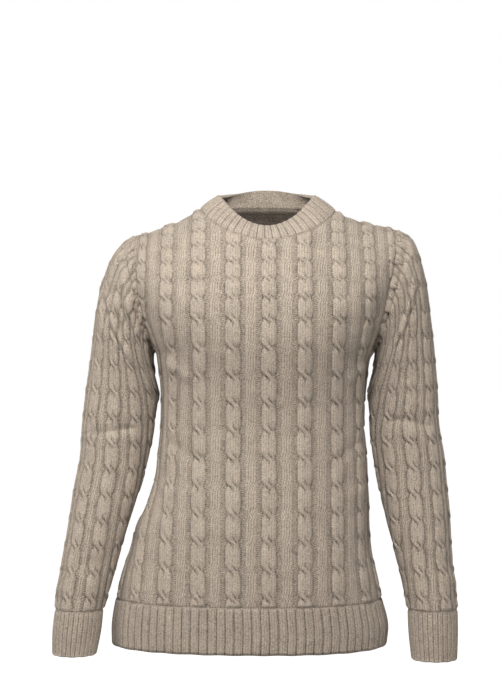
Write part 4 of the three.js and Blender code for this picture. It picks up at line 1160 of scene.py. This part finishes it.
def stitch_group() -> bpy.types.NodeTree:
    """Node group that turns a stitch place and a purl share into yarn height and a mask of the gaps between knit
    columns and between purl bumps, which is painted in as shade.
    """
    group = bpy.data.node_groups.new("KnitStitch", "ShaderNodeTree")
    for name in ("U", "V", "Purl"):
        group.interface.new_socket(name=name, in_out="INPUT", socket_type="NodeSocketFloat")
    for name in ("Height", "Line"):
        group.interface.new_socket(name=name, in_out="OUTPUT", socket_type="NodeSocketFloat")
    t = NodeTree(group)
    inputs, outputs = t.add("NodeGroupInput"), t.add("NodeGroupOutput")
    u, v, purl = inputs.outputs[0], inputs.outputs[1], inputs.outputs[2]
    across = t.math("ABSOLUTE", t.math("SUBTRACT", t.math("FRACT", u), 0.5))
    leg = t.math("MULTIPLY", t.math("SUBTRACT", across, 0.25), 4.0)
    leg_height = t.math("SQRT", t.math("MAXIMUM", t.math("SUBTRACT", 1.0, t.math("MULTIPLY", leg, leg)), 0.0))
    climb = t.math("FRACT", t.math("ADD", v, t.math("MULTIPLY", across, 1.6)))
    rise = t.math("SINE", t.math("MULTIPLY", climb, math.pi))
    knit = t.math("MULTIPLY", leg_height, t.math("POWER", t.math("MAXIMUM", rise, 0.0), 0.5))
    sway = t.math("MULTIPLY", t.math("SINE", t.math("MULTIPLY", u, math.pi)), 0.25)
    bump = t.math("ABSOLUTE", t.math("SINE", t.math("MULTIPLY", t.math("ADD", v, sway), math.pi)))
    keep = t.math("SUBTRACT", 1.0, purl)
    line = t.math("MULTIPLY", t.math("POWER", t.math("MULTIPLY", across, 2.0), 4.0), keep)
    both = t.math("ADD", t.math("MULTIPLY", knit, keep), t.math("MULTIPLY", bump, purl))
    purl_gap_shade = t.math("MULTIPLY", t.math("SUBTRACT", 1.0, bump), purl)
    t.join(t.math("SUBTRACT", both, t.math("MULTIPLY", line, 0.8)), outputs.inputs[0])
    # The second output marks where painted shade goes: the gaps between knit columns and between purl bumps.
    t.join(t.math("ADD", line, t.math("MULTIPLY", purl_gap_shade, 1.6)), outputs.inputs[1])
    return group


def wool(name: str, finish: WoolFinish, group: bpy.types.NodeTree) -> bpy.types.Material:
    """Heathered wool knitted in rows, with shade painted into its colour in the hollows, in the stitch gaps and on the
    purl ground.

    Args:
        name: name of the material.
        finish: colours and surface.
        group: the stitch group.

    Returns:
        The material.
    """
    material = bpy.data.materials.new(name)
    material.use_nodes = True
    material.node_tree.nodes.clear()
    t = NodeTree(material.node_tree)
    out = t.add("ShaderNodeOutputMaterial")
    shader = t.add("ShaderNodeBsdfPrincipled")
    t.join(shader.outputs[0], out.inputs[0])
    shader.inputs["Roughness"].default_value = finish.roughness
    shader.inputs["Specular IOR Level"].default_value = 0.12
    shader.inputs["Sheen Weight"].default_value = finish.sheen
    shader.inputs["Sheen Roughness"].default_value = 0.6
    place = t.add("ShaderNodeUVMap", uv_map="stitches")
    split = t.add("ShaderNodeSeparateXYZ")
    t.join(place.outputs[0], split.inputs[0])
    purl, rib, shade = (t.add("ShaderNodeAttribute", attribute_name=n).outputs["Fac"] for n in ("purl", "rib", "shade"))
    stitch = t.add("ShaderNodeGroup", node_tree=group)
    t.join(split.outputs[0], stitch.inputs[0])
    t.join(split.outputs[1], stitch.inputs[1])
    t.join(purl, stitch.inputs[2])
    coords = t.add("ShaderNodeTexCoord").outputs["Object"]
    fleck, cloud, fuzz = (t.noise(coords, scale, detail) for scale, detail in ((520.0, 2.0), (60.0, 3.0), (1600.0, 2.0)))
    line = t.math("ADD", finish.stitch_gap_shade, t.math("MULTIPLY", rib, finish.rib_gap_shade))
    tone = t.math("ADD", finish.base_tone, t.math("MULTIPLY", t.math("SUBTRACT", fleck, 0.5), finish.fleck))
    tone = t.math("ADD", tone, t.math("MULTIPLY", t.math("SUBTRACT", cloud, 0.5), finish.cloud))
    # Painted shade and highlight: each stitch is painted darker where its yarn dips and lighter on top.
    tone = t.math("ADD", tone, t.math("MULTIPLY", t.math("SUBTRACT", stitch.outputs[0], 0.6), 0.12))
    # Painted shade in the gaps between stitch columns and between purl bumps.
    tone = t.math("SUBTRACT", tone, t.math("MULTIPLY", stitch.outputs[1], line))
    # Painted shade on the recessed purl ground.
    tone = t.math("SUBTRACT", tone, t.math("MULTIPLY", purl, finish.purl_ground_shade))
    # Painted shade in the creases, beside the pads and in the rib valleys.
    tone = t.math("SUBTRACT", tone, t.math("MULTIPLY", shade, finish.painted_shade_strength))
    mix = t.add("ShaderNodeMix", data_type="RGBA", clamp_factor=True)
    t.join(tone, mix.inputs[0])
    mix.inputs[6].default_value = (*finish.dark, 1)
    mix.inputs[7].default_value = (*finish.light, 1)
    t.join(mix.outputs[2], shader.inputs["Base Color"])
    yarn = t.math("ADD", stitch.outputs[0], t.math("MULTIPLY", fuzz, 0.5))
    bump = t.add("ShaderNodeBump")
    bump.inputs["Strength"].default_value = finish.bump
    bump.inputs["Distance"].default_value = 0.0009
    t.join(yarn, bump.inputs["Height"])
    t.join(bump.outputs[0], shader.inputs["Normal"])
    return material


class SeamStitcher:
    """Places small linking stitches along a path with a Geometry Nodes tree."""

    def __init__(self, material: bpy.types.Material) -> None:
        """Builds the tree for stitches of one yarn."""
        self.tree = bpy.data.node_groups.new("SeamStitches", "GeometryNodeTree")
        face = self.tree.interface
        face.new_socket(name="Path", in_out="INPUT", socket_type="NodeSocketGeometry")
        self.inputs = {}
        for name, value in (("Spacing", 3.4 * MM), ("Length", 2.7 * MM), ("Thickness", 1.0 * MM)):
            socket = face.new_socket(name=name, in_out="INPUT", socket_type="NodeSocketFloat")
            socket.default_value = value
            self.inputs[name] = socket.identifier
        self.inputs["Seed"] = face.new_socket(name="Seed", in_out="INPUT", socket_type="NodeSocketInt").identifier
        face.new_socket(name="Stitches", in_out="OUTPUT", socket_type="NodeSocketGeometry")
        self._fill(NodeTree(self.tree), material)

    @staticmethod
    def _fill(t: NodeTree, material: bpy.types.Material) -> None:
        """Nodes: path to evenly spaced points, a small bead turned along the path on each."""
        inputs, outputs = t.add("NodeGroupInput"), t.add("NodeGroupOutput")
        curve, even = t.add("GeometryNodeMeshToCurve"), t.add("GeometryNodeResampleCurve", mode="LENGTH")
        t.join(inputs.outputs["Path"], curve.inputs[0])
        t.join(curve.outputs[0], even.inputs["Curve"])
        t.join(inputs.outputs["Spacing"], even.inputs["Length"])
        bead = t.add("GeometryNodeMeshUVSphere")
        bead.inputs["Segments"].default_value = 6
        bead.inputs["Rings"].default_value = 4
        bead.inputs["Radius"].default_value = 0.5
        turn = t.add("FunctionNodeAlignRotationToVector", axis="X")
        t.join(t.add("GeometryNodeInputTangent").outputs[0], turn.inputs["Vector"])
        vary = t.add("FunctionNodeRandomValue", data_type="FLOAT")
        for name, value in (("Min", 0.85), ("Max", 1.15)):
            next(s for s in vary.inputs if s.name == name and s.type == "VALUE").default_value = value
        t.join(inputs.outputs["Seed"], vary.inputs["Seed"])
        long = t.math("MULTIPLY", inputs.outputs["Length"], next(s for s in vary.outputs if s.type == "VALUE"))
        size = t.add("ShaderNodeCombineXYZ")
        t.join(long, size.inputs[0])
        t.join(inputs.outputs["Thickness"], size.inputs[1])
        t.join(inputs.outputs["Thickness"], size.inputs[2])
        place, real = t.add("GeometryNodeInstanceOnPoints"), t.add("GeometryNodeRealizeInstances")
        t.join(even.outputs[0], place.inputs["Points"])
        t.join(bead.outputs["Mesh"], place.inputs["Instance"])
        t.join(turn.outputs[0], place.inputs["Rotation"])
        t.join(size.outputs[0], place.inputs["Scale"])
        t.join(place.outputs[0], real.inputs[0])
        finish = t.add("GeometryNodeSetMaterial")
        finish.inputs["Material"].default_value = material
        t.join(real.outputs[0], finish.inputs["Geometry"])
        t.join(finish.outputs[0], outputs.inputs[0])

    def along(self, path: Array, closed: bool, seed: int) -> tuple[Array, Array]:
        """Points in mm and triangles of the stitches along a path.

        Args:
            path: points of the path, in mm.
            closed: whether the last point joins the first.
            seed: fixed seed of the small differences in length.

        Returns:
            The points and the triangles.
        """
        count = len(path)
        edges = [(i, (i + 1) % count) for i in range(count if closed else count - 1)]
        mesh = bpy.data.meshes.new("seam_path")
        mesh.from_pydata((path * MM).tolist(), edges, [])
        obj = bpy.data.objects.new("seam_path", mesh)
        bpy.context.scene.collection.objects.link(obj)
        modifier = obj.modifiers.new("stitches", "NODES")
        modifier.node_group = self.tree
        modifier[self.inputs["Seed"]] = seed
        made = bpy.data.meshes.new_from_object(obj.evaluated_get(bpy.context.evaluated_depsgraph_get()))
        points = np.empty(len(made.vertices) * 3, np.float32)
        made.vertices.foreach_get("co", points)
        made.calc_loop_triangles()
        faces = np.empty(len(made.loop_triangles) * 3, np.int32)
        made.loop_triangles.foreach_get("vertices", faces)
        bpy.data.objects.remove(obj)
        bpy.data.meshes.remove(mesh)
        bpy.data.meshes.remove(made)
        return points.reshape(-1, 3).astype(float) / MM, faces.reshape(-1, 3).astype(int)


@dataclass(frozen=True)
class Studio:
    """Plain pale floor, soft light and the camera at the photograph's angle."""

    distance: float = 2.4
    photo_height: float = 0.98
    axis_x: float = -0.0224
    axis_z: float = -0.203
    floor_z: float = -1.0

    def build(self) -> None:
        """Adds the floor, the lights, the world and the camera."""
        scene = bpy.context.scene
        self._floor()
        self._world(scene)
        self._light("key", (-0.15, -1.3, 1.2), 1.0, 54)
        self._light("side", (-2.5, -1.0, 0.2), 1.2, 30)
        self._light("fill", (2.4, -1.6, 0.4), 1.6, 17)
        data = bpy.data.cameras.new("camera")
        camera = bpy.data.objects.new("camera", data)
        scene.collection.objects.link(camera)
        data.sensor_width = 36
        data.lens = 36 * self.distance / self.photo_height
        data.dof.use_dof = False
        camera.location = (self.axis_x, -self.distance, self.axis_z)
        camera.rotation_euler = (math.pi / 2, 0, 0)
        scene.camera = camera
        scene.view_settings.view_transform = "Standard"
        scene.view_settings.look = "None"

    def _floor(self) -> None:
        """The plain pale floor."""
        mesh = bpy.data.meshes.new("floor")
        r = 30.0
        mesh.from_pydata([(-r, -r, self.floor_z), (r, -r, self.floor_z), (r, r, self.floor_z), (-r, r, self.floor_z)],
                         [], [(0, 1, 2, 3)])
        floor = bpy.data.objects.new("floor", mesh)
        bpy.context.scene.collection.objects.link(floor)
        material = bpy.data.materials.new("floor")
        material.use_nodes = True
        shader = material.node_tree.nodes["Principled BSDF"]
        shader.inputs["Base Color"].default_value = (0.6, 0.6, 0.6, 1)
        shader.inputs["Roughness"].default_value = 0.9
        shader.inputs["Emission Color"].default_value = (1, 1, 1, 1)
        t = NodeTree(material.node_tree)
        seen = t.add("ShaderNodeLightPath").outputs["Is Camera Ray"]
        t.join(t.math("MULTIPLY", seen, 1.0), shader.inputs["Emission Strength"])
        floor.data.materials.append(material)

    @staticmethod
    def _world(scene: bpy.types.Scene) -> None:
        """Pale surroundings: white to the camera, softer as light."""
        world = bpy.data.worlds.new("studio")
        scene.world = world
        world.use_nodes = True
        world.node_tree.nodes.clear()
        t = NodeTree(world.node_tree)
        out = t.add("ShaderNodeOutputWorld")
        seen, cast = t.add("ShaderNodeBackground"), t.add("ShaderNodeBackground")
        seen.inputs[0].default_value = (1, 1, 1, 1)
        seen.inputs[1].default_value = 1.0
        cast.inputs[0].default_value = (1, 0.99, 0.97, 1)
        cast.inputs[1].default_value = 0.04
        path, mix = t.add("ShaderNodeLightPath"), t.add("ShaderNodeMixShader")
        t.join(path.outputs["Is Camera Ray"], mix.inputs[0])
        t.join(cast.outputs[0], mix.inputs[1])
        t.join(seen.outputs[0], mix.inputs[2])
        t.join(mix.outputs[0], out.inputs[0])

    @staticmethod
    def _light(name: str, place: tuple[float, float, float], size: float, power: float) -> None:
        """A soft square light turned to the middle of the sweater."""
        data = bpy.data.lights.new(name, "AREA")
        data.shape = "SQUARE"
        data.size = size
        data.energy = power
        data.color = (1, 0.975, 0.945)
        lamp = bpy.data.objects.new(name, data)
        lamp.location = place
        lamp.rotation_euler = (Vector((0, 0, -0.3)) - Vector(place)).to_track_quat("-Z", "Y").to_euler()
        bpy.context.scene.collection.objects.link(lamp)


@dataclass(frozen=True)
class Cut:
    """Flat cut of a piece: width, length and area, in metres."""

    width: float
    length: float
    area: float


def finish_piece(obj: bpy.types.Object, node: str) -> bpy.types.Object:
    """Ties a piece to the root and hides its CAD node."""
    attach(obj, "root")
    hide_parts(node)
    return obj


def main() -> None:
    """Builds the sweater and its studio."""
    logging.basicConfig(level=logging.INFO)
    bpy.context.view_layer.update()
    coarse = 1.0
    form = TorsoForm()
    group = stitch_group()
    cloth = wool("wool_cables", WoolFinish(), group)
    ribbed = WoolFinish(light=(0.59, 0.5, 0.41), base_tone=0.66, stitch_gap_shade=0.08, rib_gap_shade=0.06)
    ribbing = wool("wool_ribs", ribbed, group)
    panels = PanelBuilder(form, 1.7 * coarse)
    sleeves = SleeveBuilder(int(236 / coarse), int(300 / coarse))
    bands = BandBuilder(form)
    jobs: list[tuple[str, Slot, Callable[[], ClothMesh]]] = [
        ("front_panel", Slot.CABLES, lambda: panels.build(Facing.FRONT)),
        ("back_panel", Slot.CABLES, lambda: panels.build(Facing.BACK)),
        ("sleeve_left", Slot.CABLES, lambda: sleeves.build(Side.LEFT)),
        ("sleeve_right", Slot.CABLES, lambda: sleeves.build(Side.RIGHT)),
        ("neckband", Slot.RIBS, bands.build_neck),
        ("hem_rib_front", Slot.RIBS, lambda: bands.build_hem(Facing.FRONT)),
        ("hem_rib_back", Slot.RIBS, lambda: bands.build_hem(Facing.BACK)),
        ("cuff_left", Slot.RIBS, lambda: bands.build_cuff(Side.LEFT)),
        ("cuff_right", Slot.RIBS, lambda: bands.build_cuff(Side.RIGHT)),
    ]
    stitchers = {Slot.CABLES: SeamStitcher(cloth), Slot.RIBS: SeamStitcher(ribbing)}
    for seed, (node, slot, make) in enumerate(jobs):
        mesh = make()
        mesh.sew(stitchers[slot], 10 * seed + 1)
        obj = mesh.to_object(f"{node}_cloth", cloth if slot is Slot.CABLES else ribbing)
        finish_piece(obj, node)
        log.info("%s: %d points, %d faces", node, len(obj.data.vertices), len(obj.data.polygons))
    Studio().build()


if __name__ == "__main__":
    main()
